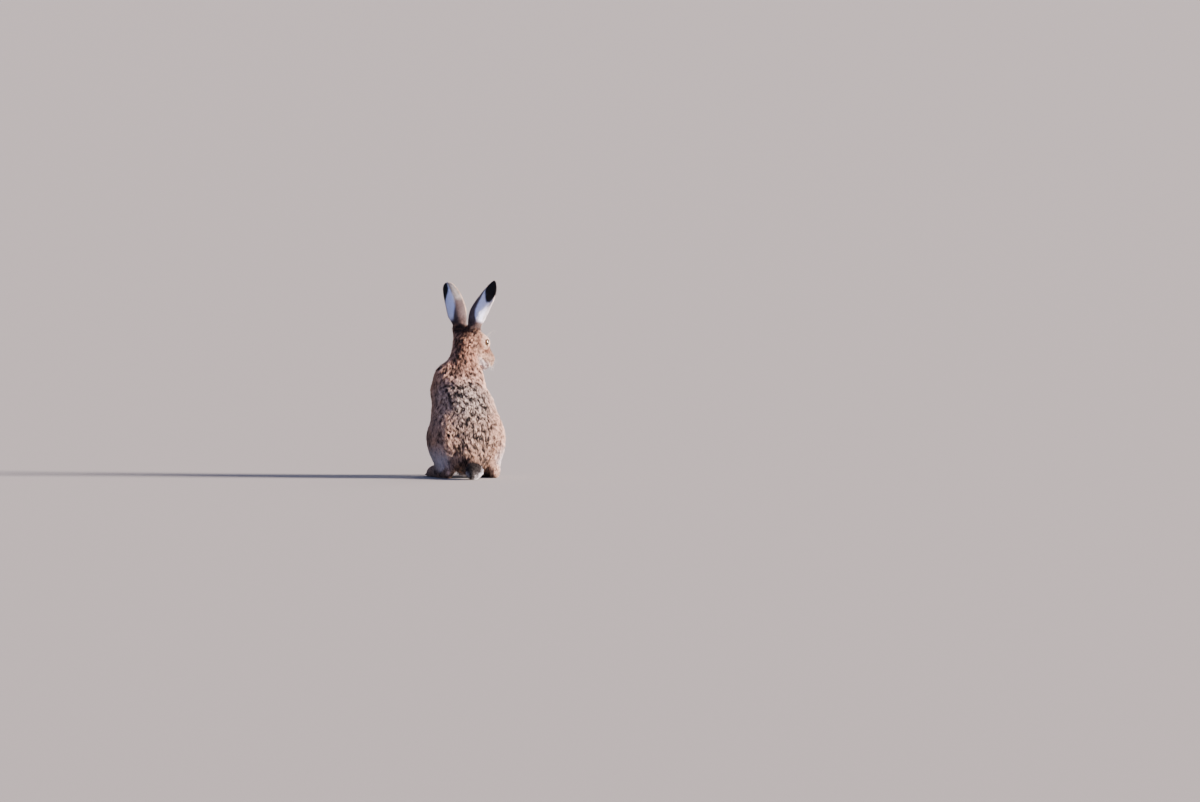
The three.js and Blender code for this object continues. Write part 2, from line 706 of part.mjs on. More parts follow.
// Claws, one in front of each toe, with the root sunk in the toe
function addClaws(paw, ballOfFoot, toe, clawLength, side) {
  let joined = paw;
  for (const i of TOES) {
    const [from, to] = toeLine(ballOfFoot, toe, i, side);
    const ahead = new THREE.Vector3(...minus(to, from)).setZ(0).normalize();
    const down = ahead.clone().setZ(-0.32).normalize();
    const root = new THREE.Vector3(...to).addScaledVector(ahead, toe.radius * 0.45);
    const claw = new THREE.ConeGeometry(2.2, clawLength, 6).translate(0, clawLength / 2, 0);
    const turn = new THREE.Quaternion().setFromUnitVectors(new THREE.Vector3(0, 1, 0), down);
    const place = new THREE.Matrix4().compose(root, turn, new THREE.Vector3(1, 1, 1));
    joined = joined.add(solidOf(claw, place));
  }
  return largest(joined.intersect(aboveGround));
}
for (const [name, side] of Object.entries(SIDES)) {
  const hind = "hind_foot_" + name;
  const fore = "forepaw_" + name;
  solids[hind] = addClaws(solids[hind], HIND_BALL, HIND_TOE, HIND_CLAW, side);
  solids[fore] = addClaws(solids[fore], FORE_BALL, FORE_TOE, FORE_CLAW, side);
}

// The model

const COLOURS = {
  head: 0xa98862,
  neck: 0xa57b50,
  torso: 0x93795a,
  tail: 0x2e2925,
  haunch: 0xa98a66,
  hind_foot: 0xc2a682,
  foreleg: 0xb08458,
  forepaw: 0xb98f62,
  ear: 0xb5a894,
  eye: 0x9a5f1e,
};
const ROUGHNESS = { coat: 0.85, wet: 0.08 };
function finish(name) {
  const kind = Object.keys(COLOURS).find((k) => name.startsWith(k));
  return new THREE.MeshStandardMaterial({
    color: COLOURS[kind],
    roughness: kind === "eye" ? ROUGHNESS.wet : ROUGHNESS.coat,
    metalness: 0,
  });
}

// A solid in the body's frame as a mesh for a group that is placed by a matrix
function meshOf(name, solid, inverse = new THREE.Matrix4()) {
  const { vertProperties, triVerts } = solid.getMesh();
  const geometry = new THREE.BufferGeometry()
    .setAttribute("position", new THREE.BufferAttribute(vertProperties, 3))
    .setIndex(new THREE.BufferAttribute(triVerts, 1))
    .applyMatrix4(inverse);
  geometry.computeVertexNormals();
  const mesh = new THREE.Mesh(geometry, finish(name));
  mesh.name = name;
  return mesh;
}

const hareModel = new THREE.Group();
hareModel.add(headFrame);
for (const [name, cutOut] of Object.entries(solids)) {
  const solid = largest(lightened(cutOut, TOLERANCE));
  const onHead = name === "head" || name.startsWith("ear_");
  if (onHead) headFrame.add(meshOf(name, solid, HEAD_INVERSE));
  else hareModel.add(meshOf(name, solid));
}
for (const [name, side] of Object.entries(SIDES)) {
  const eye = new THREE.Mesh(eyeSphere(EYE_RADIUS), finish("eye"));
  eye.name = "eye_" + name;
  eye.applyMatrix4(eyeMatrix(side));
  headFrame.add(eye);
}

// The origin is under the middle of the model's box
const extent = new THREE.Box3().setFromObject(hareModel, true);
const middle = extent.getCenter(new THREE.Vector3());
hareModel.position.set(-middle.x, -middle.y, 0);

export default hareModel;
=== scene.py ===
"""A brown hare that sits upright with its back turned, its ears raised and its head turned to its right."""

import bpy
import numpy as np
from mathutils import Matrix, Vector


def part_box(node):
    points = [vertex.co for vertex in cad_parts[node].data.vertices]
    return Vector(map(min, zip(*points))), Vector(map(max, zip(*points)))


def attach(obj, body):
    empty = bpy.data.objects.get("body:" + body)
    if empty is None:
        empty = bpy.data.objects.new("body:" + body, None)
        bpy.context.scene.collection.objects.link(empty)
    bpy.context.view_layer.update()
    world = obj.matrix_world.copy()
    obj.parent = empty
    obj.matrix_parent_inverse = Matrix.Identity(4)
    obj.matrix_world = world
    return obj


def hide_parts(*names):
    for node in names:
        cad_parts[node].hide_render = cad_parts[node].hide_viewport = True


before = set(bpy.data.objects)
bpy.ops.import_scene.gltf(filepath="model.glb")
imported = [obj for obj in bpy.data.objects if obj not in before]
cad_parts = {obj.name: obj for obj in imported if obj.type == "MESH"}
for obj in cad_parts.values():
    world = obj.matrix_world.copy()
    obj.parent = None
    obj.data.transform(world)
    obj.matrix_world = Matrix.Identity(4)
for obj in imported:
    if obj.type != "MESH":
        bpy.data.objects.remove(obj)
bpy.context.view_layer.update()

# View, floor and light
# The hare is seen from far off and near the ground, from behind and a little to its left. It sits on a plain
# pale floor. A warm soft light comes from the camera's right and a cool one from above it.

AZIMUTH, ELEVATION = np.radians(165.0), np.radians(2.5)
CAMERA_DISTANCE = 33.75  # m
AIM = (0.3031, 0.1712)  # m to the right of the hare's middle and above the floor
FLOOR_HALF = 180.0  # m, so that the floor fills the view
to_camera = np.array(
    [np.sin(AZIMUTH) * np.cos(ELEVATION), -np.cos(AZIMUTH) * np.cos(ELEVATION), np.sin(ELEVATION)]
)
to_right = np.array([np.cos(AZIMUTH), np.sin(AZIMUTH), 0.0])
to_top = np.cross(to_camera, to_right)


def from_view(right, top, near):
    """A place given in metres to the right of the hare, above it and towards the camera."""
    return to_right * right + to_top * top + to_camera * near


def facing(place, target):
    """The 4 x 4 matrix of an object at place whose -Z axis points at target, with its X axis level."""
    z = (place - target) / np.linalg.norm(place - target)
    x = np.cross([0.0, 0.0, 1.0], z)
    x /= np.linalg.norm(x)
    matrix = np.eye(4)
    matrix[:3, :4] = np.stack([x, np.cross(z, x), z, place], 1)
    return Matrix(matrix.tolist())


def placed(name, data, matrix):
    """A new object in the scene at the place and turn of a matrix."""
    made = bpy.data.objects.new(name, data)
    bpy.context.scene.collection.objects.link(made)
    made.matrix_world = matrix
    return made


lens = bpy.data.cameras.new("camera")
lens.sensor_width, lens.lens = 36.0, 450.0
lens.clip_start, lens.clip_end = 1.0, 500.0
seen_from = from_view(*AIM, CAMERA_DISTANCE)
bpy.context.scene.camera = placed("camera", lens, facing(seen_from, from_view(*AIM, 0.0)))


def soft_light(name, right, top, near, spread, strength, colour):
    """Parallel light from a side of the view, even over the floor and softened by its spread in degrees."""
    light = bpy.data.lights.new(name, "SUN")
    light.angle, light.energy, light.color = np.radians(spread), strength, colour
    return placed(name, light, facing(from_view(right, top, near), np.zeros(3)))


soft_light("key_light", 2.4, 0.66, 0.3, 14.0, 45.0, (1.0, 0.83, 0.75))
soft_light("sky_light", 0.5, 1.2, 1.9, 40.0, 1.6, (0.42, 0.52, 1.0))
soft_light("back_light", 1.1, 1.5, -1.6, 30.0, 1.4, (1.0, 0.88, 0.82))

world = bpy.data.worlds.new("studio")
world.use_nodes = True
sky = world.node_tree.nodes["Background"]
sky.inputs["Color"].default_value = (0.50, 0.58, 1.0, 1.0)
sky.inputs["Strength"].default_value = 0.5
bpy.context.scene.world = world


def swatch(code):
    """Linear light of a hex colour: each channel plus 0.055, over 1.055, to the power 2.4."""
    channels = np.array([int(code[i : i + 2], 16) for i in (1, 3, 5)]) / 255.0
    return ((channels + 0.055) / 1.055) ** 2.4


def plain_material(name, colour, roughness):
    """A new Principled material; returns it with its node tree and its shader."""
    material = bpy.data.materials.new(name)
    material.use_nodes = True
    shader = material.node_tree.nodes["Principled BSDF"]
    shader.inputs["Base Color"].default_value = (*colour, 1.0)
    shader.inputs["Roughness"].default_value = roughness
    return material, material.node_tree, shader


def mesh_piece(name, points, faces, material=None):
    """A smooth mesh object at the origin, from arrays of points and of faces with as many corners each."""
    faces = np.asarray(faces, np.int32)
    mesh = bpy.data.meshes.new(name)
    mesh.vertices.add(len(points))
    mesh.vertices.foreach_set("co", np.asarray(points, np.float32).ravel())
    mesh.loops.add(faces.size)
    mesh.loops.foreach_set("vertex_index", faces.ravel())
    mesh.polygons.add(len(faces))
    mesh.polygons.foreach_set("loop_start", np.arange(len(faces), dtype=np.int32) * faces.shape[1])
    mesh.update(calc_edges=True)
    mesh.polygons.foreach_set("use_smooth", np.full(len(faces), True))
    if material is not None:
        mesh.materials.append(material)
    made = bpy.data.objects.new(name, mesh)
    bpy.context.scene.collection.objects.link(made)
    return made


floor_corners = np.array([[-1, -1, 0], [1, -1, 0], [1, 1, 0], [-1, 1, 0]]) * FLOOR_HALF
pale_floor = plain_material("pale_floor", swatch("#636160"), 0.9)[0]
floor = mesh_piece("floor", floor_corners, [[0, 1, 2, 3]], pale_floor)

# Skin
# One hide of thin soft leather over the trunk, neck, head, legs and tail. It is the outline drawn in by the
# depth of the coat, so that the hairs rooted in it end where the outline is, and it sinks into the mouth,
# the cleft of the lip and the nostrils.

MM = 0.001
HIDE_GRAIN = 1.75  # distance between the hide's points, mm
SMOOTHING_ROUNDS = 45
SOLE_FADE = (-0.5, 6.5)  # heights over the floor between which the coat gets its depth, mm
FRAME_SHIFT = np.array([0.633, -21.630, 0.0])  # from the skeleton's frame to the model's, mm

# Parts of the body, left ones for pairs. Each is a rounded cone: its two ends, the radii there, the depth of
# the coat on it, the length of its locks, their width, how they lie, and the name of its coat. Lengths in
# mm. The two parts of the head have their ends in the head's own frame, and their hair lies along it.
PARTS = [
    ("rump", (0, 62, 52), (0, 46, 100), 52, 58, 8.0, 20, 1.1, (0, 0.35, -0.94), "haunch"),
    ("back", (0, 46, 100), (0, 12, 158), 58, 61, 8.5, 20, 1.1, (0, 0.42, -0.91), "saddle"),
    ("withers", (0, 12, 158), (0, -18, 210), 61, 46, 8.0, 18, 1.05, (0, 0.4, -0.92), "saddle"),
    ("breast", (0, -50, 196), (0, -44, 140), 27, 29, 8.0, 18, 1.1, (0, 0.05, -1), "rufous"),
    ("belly", (0, -8, 66), (0, -20, 122), 42, 43, 8.0, 18, 1.1, (0, 0.25, -0.97), "white"),
    ("nape", (-1, -12, 218), (-5, -16, 262), 38, 27, 7.0, 15, 0.9, (0, 0.2, -0.98), "rufous"),
    ("throat", (-5, -16, 262), (-9, -21, 300), 27, 27, 6.0, 13, 0.85, (0.1, 0.2, -0.98), "rufous"),
    ("scruff", (12, -12, 262), (37, -7, 236), 13, 17.5, 6.0, 16, 0.95, (0.5, 0.3, -0.8), "rufous"),
    ("tail", (0, 100, 34), (14, 157, 14), 17, 14, 6.0, 16, 1.0, (0.2, 0.9, -0.35), "tail"),
    ("muzzle", (0, -66, -14), (0, -36, -8), 13, 21, 1.4, 4.2, 0.45, None, "face"),
    ("brow", (0, -30, -4), (0, 8, 0), 21, 27, 2.6, 7.5, 0.6, None, "face"),
    ("shoulder", (38, -6, 229), (36, -38, 188), 20, 25, 6.5, 16, 1.0, (0, 0.0, -1), "flank"),
    ("upper_arm", (36, -38, 188), (44, -18, 135), 25, 20, 6.0, 15, 1.0, (0, 0.3, -0.95), "rufous"),
    ("thigh", (46, 52, 78), (53, -12, 90), 44, 26, 7.5, 19, 1.1, (0, 0.5, -0.86), "flank"),
    ("shank", (53, -12, 90), (54, 66, 28), 23, 17, 5.0, 13, 0.95, (0, 0.75, -0.66), "flank"),
    ("hind_foot", (54, 80, 12.6), (58, -44, 8), 13, 9, 2.4, 8, 0.75, (0, -1, 0.0), "foot"),
    ("foreleg", (44, -18, 135), (27, -62, 42), 20, 12, 2.8, 8.5, 0.8, (-0.17, -0.42, -0.89), "rufous"),
    ("forepaw", (27, -62, 42), (25, -84, 9), 12, 9, 2.0, 6, 0.65, (0, -0.6, -0.8), "foot"),
]
PAIRED_FROM = 11
HEAD_LIE = np.array([0.0, 0.98, 0.1])

# The head is pitched down, then turned to its right
turn_cos, turn_sin = np.cos(np.radians(-67.0)), np.sin(np.radians(-67.0))
pitch_cos, pitch_sin = np.cos(np.radians(28.0)), np.sin(np.radians(28.0))
HEAD_TURN = np.array([[turn_cos, -turn_sin, 0], [turn_sin, turn_cos, 0], [0, 0, 1]])
HEAD_AXES = HEAD_TURN @ np.array([[1, 0, 0], [0, pitch_cos, -pitch_sin], [0, pitch_sin, pitch_cos]])
HEAD_CENTRE = np.array([-30.0, -34.0, 304.0]) + FRAME_SHIFT


def in_head(points):
    """Millimetres in the head's own frame, where it faces -Y with its left at +X, from the model's metres."""
    return (points / MM - HEAD_CENTRE) @ HEAD_AXES


def from_head(points):
    """Metres in the model's frame, from millimetres in the head's own."""
    return (np.asarray(points) @ HEAD_AXES.T + HEAD_CENTRE) * MM


def body_table():
    """The parts as arrays in metres, with the right-hand ones added by turning the sign of X."""
    rows = []
    for i, (name, start, end, *sizes, lie, coat) in enumerate(PARTS):
        if lie is None:
            start, end = (from_head(np.array(p, float)) / MM - FRAME_SHIFT for p in (start, end))
            lie = HEAD_AXES @ HEAD_LIE
        for side in (1, -1) if i >= PAIRED_FROM else (1,):
            flip = np.array([side, 1, 1])
            ends = [(np.array(p, float) * flip + FRAME_SHIFT) * MM for p in (start, end)]
            unit = np.array(lie, float) * flip
            rows.append((name, side, *ends, np.array(sizes, float) * MM, unit / np.linalg.norm(unit), coat))
    return rows


BODY = body_table()
part_names = [row[0] for row in BODY]
part_start, part_end = (np.array([row[k] for row in BODY]) for k in (2, 3))
part_sizes = np.array([row[4] for row in BODY])
part_lie = np.array([row[5] for row in BODY])


def reach(points):
    """Signed distance of every point (rows) from every part (columns): the distance to the nearest place on
    the part's axis less the radius there."""
    axis = part_end - part_start
    away = points[:, None, :] - part_start[None]
    share = np.clip((away * axis).sum(2) / (axis * axis).sum(1), 0, 1)
    radius = part_sizes[:, 0] + share * (part_sizes[:, 1] - part_sizes[:, 0])
    return np.linalg.norm(away - share[:, :, None] * axis, axis=2) - radius


def shares_of(points, softness=0.006):
    """How much each part has of each point: e to the power of minus its distance beyond the nearest one's."""
    distance = reach(points)
    weight = np.exp(-(distance - distance.min(1, keepdims=True)) / softness)
    return weight / weight.sum(1, keepdims=True)


def soft(low, high, x):
    """0 below low, 1 above high, and 3 t squared less 2 t cubed between."""
    t = np.clip((x - low) / (high - low), 0, 1)
    return t * t * (3 - 2 * t)


def tube_faces(rows, columns, first, start, end):
    """Triangles of a tube of rings whose points are numbered on from first: each square between two rings is
    cut in two, and a fan joins the first ring to the point start and the last one to the point end."""
    i, j = (g.ravel() for g in np.meshgrid(np.arange(rows - 1), np.arange(columns), indexing="ij"))
    k = (j + 1) % columns
    a, b, c, d = (first + r * columns + n for r, n in ((i, j), (i, k), (i + 1, k), (i + 1, j)))
    j, k = np.arange(columns), (np.arange(columns) + 1) % columns
    last = first + (rows - 1) * columns
    sets = [(a, b, c), (a, c, d), (start + 0 * j, first + k, first + j), (end + 0 * j, last + j, last + k)]
    return np.concatenate([np.stack(corners, 1) for corners in sets])


def ball(centre, radii, rows=16, columns=28, axes=np.eye(3)):
    """Points and triangles of an ellipsoid: each point is the centre plus the radii times (sin a cos b,
    sin a sin b, cos a) along three axes, with a from pole to pole and b round them."""
    a = np.linspace(0, np.pi, rows + 1)[1:-1, None]
    b = np.linspace(0, 2 * np.pi, columns, endpoint=False)[None]
    ring = np.stack([np.sin(a) * np.cos(b), np.sin(a) * np.sin(b), np.cos(a) + 0 * b], 2).reshape(-1, 3)
    unit = np.concatenate([ring, [[0, 0, 1], [0, 0, -1]]])
    points = np.asarray(centre) + (unit * radii) @ np.asarray(axes).T
    return points, tube_faces(rows - 1, columns, 0, len(ring), len(ring) + 1)


def joined(*shapes):
    """One array of points and one of faces from several pairs of them."""
    starts = np.cumsum([0] + [len(points) for points, _ in shapes[:-1]])
    faces = [own + start for (_, own), start in zip(shapes, starts)]
    return np.concatenate([points for points, _ in shapes]), np.concatenate(faces)


def shape_of(mesh):
    """Points and triangles of a mesh."""
    points = np.empty(len(mesh.vertices) * 3)
    mesh.vertices.foreach_get("co", points)
    mesh.calc_loop_triangles()
    faces = np.empty(len(mesh.loop_triangles) * 3, np.int32)
    mesh.loop_triangles.foreach_get("vertices", faces)
    return points.reshape(-1, 3), faces.reshape(-1, 3)


def box_middle(name):
    """The middle of a CAD node's box."""
    low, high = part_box(name)
    return (np.array(low) + np.array(high)) / 2


FLESH = [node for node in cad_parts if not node.startswith(("ear_", "eye_"))]
SIDES = {"left": 1, "right": -1}
EYE_RADIUS = 10.5 * MM
EAR_ROOT = {"left": np.array([24.0, 23.0, 17.0]), "right": np.array([-20.0, 21.0, 18.0])}
EAR_ROOT_RADIUS = 12.5 * MM
filling = [ball(box_middle("eye_" + hand), EYE_RADIUS) for hand in SIDES]
filling += [ball(from_head(EAR_ROOT[h] + [-2 * side, 0, -4]), EAR_ROOT_RADIUS) for h, side in SIDES.items()]
raw = mesh_piece("flesh", *joined(*[shape_of(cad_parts[node].data) for node in FLESH], *filling))
fused = raw.modifiers.new("one_hide", "REMESH")
fused.mode, fused.voxel_size = "VOXEL", HIDE_GRAIN * MM
hide = bpy.data.meshes.new_from_object(raw.evaluated_get(bpy.context.evaluated_depsgraph_get()))
bpy.data.objects.remove(raw)

hide_points, triangles = shape_of(hide)
edges = np.empty(len(hide.edges) * 2, np.int32)
hide.edges.foreach_get("vertices", edges)
edges = edges.reshape(-1, 2)
neighbours = np.bincount(edges.ravel(), minlength=len(hide_points))[:, None]


def relaxed(values, pull, times):
    """Values moved towards the mean of their neighbours' by the share pull, so many times over."""
    a, b = edges.T
    for _ in range(times):
        sums = [np.bincount(a, v[b], len(values)) + np.bincount(b, v[a], len(values)) for v in values.T]
        values = values + pull * (np.stack(sums, 1) / neighbours - values)
    return values


def normals_of(points, faces):
    """Unit normal of every point: the sum of the cross products of its triangles' sides."""
    across = np.cross(points[faces[:, 1]] - points[faces[:, 0]], points[faces[:, 2]] - points[faces[:, 0]])
    sums = [sum(np.bincount(faces[:, c], axis, len(points)) for c in range(3)) for axis in across.T]
    total = np.stack(sums, 1)
    return total / np.maximum(np.linalg.norm(total, axis=1, keepdims=True), 1e-12)


# Big round parts are smoothed most, the feet less and the face hardly at all
shares = shares_of(hide_points)
slender = shares @ (1 - soft(0.012, 0.045, part_sizes[:, :2].max(1)))
near_head = shares[:, part_names.index("muzzle")] + shares[:, part_names.index("brow")]
pull = 0.5 * (1 - 0.75 * slender) * (1 - 0.93 * near_head)
outer_points = relaxed(hide_points, pull[:, None], SMOOTHING_ROUNDS)
outer_normals = relaxed(normals_of(outer_points, triangles), 0.5, 4)
shares = relaxed(shares_of(outer_points), 0.5, 6)
depth = shares @ part_sizes[:, 2] * soft(*SOLE_FADE, outer_points[:, 2] / MM)
skin_points = outer_points - outer_normals * depth[:, None]
skin_points = relaxed(skin_points, 0.5 * (1 - 0.9 * near_head)[:, None], 4)
skin_points[:, 2] = np.maximum(skin_points[:, 2], 0.3 * MM)


def to_line(points, line):
    """Distance of every point from a line through given places: the least of those to its stretches."""
    best = np.full(len(points), np.inf)
    for a, b in zip(line[:-1], line[1:]):
        share = np.clip(((points - a) @ (b - a)) / ((b - a) @ (b - a)), 0, 1)
        best = np.minimum(best, np.linalg.norm(points - a - share[:, None] * (b - a), axis=1))
    return best


# Lines of the left half of the face, in the head's frame, mm
MOUTH = np.array([[19, -40, -28], [17, -52, -31], [11, -66, -33.5], [4.5, -74, -32.5], [0, -76, -31.5]])
CLEFT = np.array([[0, 0, -15], [0, 0, -31]])
NOSTRIL, NOSTRIL_SIZE = np.array([5.6, 0, -13.5]), np.array([3.4, 1, 1.7])


def mirrored(points):
    """Points with those of the right half brought over to the left: X without its sign."""
    return np.column_stack([np.abs(points[:, 0]), points[:, 1:]])


def face_lines(q):
    """Distances in mm of points of the head's frame from the mouth, from the cleft of the lip and from the
    nearer nostril, the last as a share of its half-widths. Those two are measured as seen from in front."""
    half = mirrored(q)
    from_front = half * [1, 0, 1]
    behind = 30 * soft(-68, -62, q[:, 1])
    nostril = np.linalg.norm((from_front - NOSTRIL) / NOSTRIL_SIZE, axis=1)
    return to_line(half, MOUTH), to_line(from_front, CLEFT) + behind, nostril + behind


def face_folds(q):
    """How far the skin sinks at points of the head's frame: for each fold its depth times e to the power of
    minus the square of the distance over its half-width."""
    folds = zip(face_lines(q), (1.9, 1.7, 3.0), (2.4, 1.7, 1.0))
    return sum(deep * np.exp(-((away / half_width) ** 2)) for away, deep, half_width in folds)


def openings(q):
    """1 in the line of the mouth, the cleft and the nostrils, and soft steps down to 0 a little way off."""
    mouth, cleft, nostril = face_lines(q)
    return np.maximum(np.maximum(soft(3.4, 2.0, mouth), soft(2.2, 1.1, cleft)), soft(1.5, 1.0, nostril))


skin_normals = normals_of(skin_points, triangles)
skin_points -= skin_normals * (face_folds(in_head(outer_points)) * near_head * MM)[:, None]
skin_normals = normals_of(skin_points, triangles)

# Markings
# The coat is banded: each hair is woolly and dull at the root, then pale, then dark. Each kind of coat has
# the colours of its wool, pale band and dark band, and the share of its locks that are dark. The skin has the
# same marks.

COATS = {
    "saddle": ("#2e2725", "#d3c3b9", "#0d0909", 0.72),
    "haunch": ("#33231a", "#b78868", "#170d07", 0.72),
    "flank": ("#543d33", "#d0aa93", "#2c1b13", 0.40),
    "rufous": ("#583628", "#c78d72", "#230e08", 0.50),
    "throat": ("#644334", "#b4866c", "#472a18", 0.30),
    "white": ("#b7b4ba", "#dad7dc", "#a8a3a8", 0.20),
    "tail": ("#1f1a19", "#2b2524", "#0c0a0a", 0.60),
    "face": ("#6b4f40", "#d8b297", "#34201a", 0.42),
    "foot": ("#887058", "#bca488", "#75583e", 0.25),
    "brown": ("#2c1d18", "#5d4033", "#160b09", 0.55),
    "black": ("#1d1a1b", "#171415", "#0c0a0b", 0.50),
    "cream": ("#b0907a", "#efd6c0", "#84644e", 0.26),
    "lip": ("#38211c", "#54332b", "#20110e", 0.30),
    # The ears' white fur has a blue tint, which is painted cool shade.
    "ear_white_and_cool_shade": ("#dde2ff", "#f6f8ff", "#c6ccfa", 0.05),
    # The ears' brown is darkened as painted shadow, and their grey is paler as painted light.
    "ear_brown_and_shade": ("#4a3c3c", "#6f5f5d", "#352b2b", 0.35),
    "ear_grey_and_light": ("#807b79", "#a7a29c", "#5f5a56", 0.25),
    "ear_inside": ("#b98f7c", "#d8b8a2", "#a87f6c", 0.20),
}
coat_rows = {kind: np.r_[swatch(a), swatch(b), swatch(c), share] for kind, (a, b, c, share) in COATS.items()}
part_coats = np.array([coat_rows[row[6]] for row in BODY])


def mixed(a, b, t):
    """a at 0, b at 1, and evenly between."""
    return a + (b - a) * t


def covered(coat, marks):
    """Rows of coats covered in turn with named ones: each is moved towards the named one by its share."""
    for kind, share in marks:
        coat = coat + share[:, None] * (coat_rows[kind] - coat)
    return coat


def markings(points, normals, shares):
    """Ten numbers for each point, as in a row of COATS: those of the body's parts, blended over wide borders,
    then covered in turn by the pale flanks and underside, painted shade in dark brown on the knees, the brown
    nape, and the marks of tail and head. Each mark is a product of soft steps over places, or e to the power
    of minus a squared distance."""
    mm, q = points / MM - FRAME_SHIFT, in_head(points)
    x, y, z = mm.T
    broad, half = np.abs(x), mirrored(q)
    head_x, head_y, head_z = half.T
    head = shares[:, part_names.index("muzzle")] + shares[:, part_names.index("brow")]
    tail, body = shares[:, part_names.index("tail")], 1 - head
    limbs = shares[:, [part in ("foreleg", "forepaw", "hind_foot") for part in part_names]].sum(1)
    sideways = soft(0.3, 0.8, np.sign(x - 4) * normals[:, 0])
    ahead = soft(-0.2, 0.45, -normals[:, 1])
    inner = soft(0.15, 0.6, -np.sign(x) * normals[:, 0]) * soft(120, 90, z) * soft(40, 10, y)
    shank = soft(26, 44, 0.966 * broad - 0.259 * y) * soft(94, 50, z) * soft(8, 22, z) * soft(100, 60, y)
    # Dark brown on each knee: painted shade
    knee_shade = np.exp(-(((mirrored(mm) - [76, -8, 100]) / [28, 40, 22]) ** 2).sum(1))
    over_tail = z - 34 + 20 * (y - 100) / 57
    streak = np.interp(z, [241, 263, 285, 318], [19, 6, -2, -4])
    nape = soft(17, 4, np.abs(x - streak)) * soft(0.1, 0.6, normals[:, 1]) * soft(225, 255, z)
    crown = soft(-6, 14, head_z) * soft(-6, 12, head_y) * soft(30, 18, head_x)
    bridge = soft(10, 4, head_x) * soft(-20, -40, head_y) * soft(-18, -6, head_z)
    from_eye = np.linalg.norm((half - [17.5, -22, 8]) * [1, 1, 1.15], axis=1)
    arc = soft(17, 20, from_eye) * soft(32, 24, from_eye) * soft(26, 4, head_z)
    cheek = np.exp(-(((half - [20, -38, -8]) / [9, 12, 7]) ** 2).sum(1))
    marks = [
        ("flank", soft(26, 56, broad) * soft(200, 150, z) * body * 0.8),
        ("flank", sideways * soft(120, 200, z) * body * 0.5),
        ("throat", ahead * soft(120, 170, z) * body),
        ("white", ahead * soft(44, 22, broad) * soft(158, 96, z) * body * (1 - 0.85 * limbs)),
        ("white", inner * body * (1 - 0.6 * limbs)),
        ("white", shank * 0.8 * (1 - limbs)),
        ("brown", knee_shade * 0.8 * body),
        ("tail", soft(-5, -1, over_tail) * tail),
        ("white", soft(-1, -5, over_tail) * tail),
        ("brown", nape * body * 0.75),
        ("brown", crown * 0.9),
        ("brown", bridge * head * 0.35),
        ("rufous", arc * head * 0.8),
        ("cream", soft(19.5, 16.5, from_eye) * head),
        ("rufous", cheek * 0.85 * head),
        ("cream", soft(-8, -20, head_z) * soft(10, -30, head_y) * head * 0.4),
        ("white", soft(-24, -33, head_z) * soft(14, -20, head_y) * head * 0.85),
        ("lip", openings(q) * head),
    ]
    return covered(mixed(shares_of(points, 0.016), shares, head[:, None]) @ part_coats, marks)


skin_coat = markings(skin_points, outer_normals, shares)
skin_colour = 0.6 * skin_coat[:, :3] + 0.4 * skin_coat[:, 3:6]


def hold_colours(mesh, colours):
    """Stores one linear colour for each point of a mesh, as its marks."""
    layer = mesh.attributes.new("marks", "FLOAT_COLOR", "POINT")
    opaque = np.column_stack([colours, np.ones(len(colours))])
    layer.data.foreach_set("color", opaque.astype(np.float32).ravel())


def add_node(tree, kind, given=None, **settings):
    """A new shader node. What is given for an input is its value, or another node's output to link to it."""
    made = tree.nodes.new("ShaderNode" + kind)
    for setting, value in settings.items():
        setattr(made, setting, value)
    for socket, value in (given or {}).items():
        if isinstance(value, bpy.types.NodeSocket):
            tree.links.new(value, made.inputs[socket])
        else:
            made.inputs[socket].default_value = value
    return made


def hair_streaks():
    """Node group of fine hairs: noise drawn out along one direction. Colour is multiplied by 1 plus Contrast
    times the noise less a half, and Height is the noise itself."""
    group = bpy.data.node_groups.new("hair_streaks", "ShaderNodeTree")
    for way, name, kind in (
        ("INPUT", "Colour", "Color"),
        ("INPUT", "Contrast", "Float"),
        ("INPUT", "Along", "Vector"),
        ("OUTPUT", "Colour", "Color"),
        ("OUTPUT", "Height", "Float"),
    ):
        group.interface.new_socket(name, in_out=way, socket_type="NodeSocket" + kind)
    given, result = group.nodes.new("NodeGroupInput").outputs, group.nodes.new("NodeGroupOutput").inputs
    grain = {"Vector": given["Along"], "Scale": 1.0, "Detail": 2.0}
    noise = add_node(group, "TexNoise", grain).outputs["Fac"]
    centred = add_node(group, "Math", {0: noise, 1: 0.5}, operation="SUBTRACT").outputs[0]
    scale = {0: centred, 1: given["Contrast"], 2: 1.0}
    scaled = add_node(group, "Math", scale, operation="MULTIPLY_ADD").outputs[0]
    dyed = add_node(group, "VectorMath", {0: given["Colour"], "Scale": scaled}, operation="SCALE")
    group.links.new(dyed.outputs["Vector"], result["Colour"])
    group.links.new(noise, result["Height"])
    return group


streaks = hair_streaks()


def haired_material(name, stretch, contrast, bump_mm, roughness, on_map=False):
    """A material that takes its colour from the mesh's marks and streaks it with fine hairs. The streaks
    follow the place on the piece, or the map named hair."""
    material, tree, shader = plain_material(name, (0.5, 0.5, 0.5), roughness)
    marks = add_node(tree, "Attribute", attribute_name="marks").outputs["Color"]
    if on_map:
        place = add_node(tree, "UVMap", uv_map="hair").outputs["UV"]
    else:
        place = add_node(tree, "TexCoord").outputs["Object"]
    along = add_node(tree, "Mapping", {"Vector": place, "Scale": stretch}).outputs["Vector"]
    given = {"Colour": marks, "Contrast": contrast, "Along": along}
    fine = add_node(tree, "Group", given, node_tree=streaks).outputs
    relief = {"Height": fine["Height"], "Distance": bump_mm * MM, "Strength": 0.6}
    tree.links.new(fine["Colour"], shader.inputs["Base Color"])
    tree.links.new(add_node(tree, "Bump", relief).outputs["Normal"], shader.inputs["Normal"])
    shader.inputs["Specular IOR Level"].default_value = 0.25
    return material


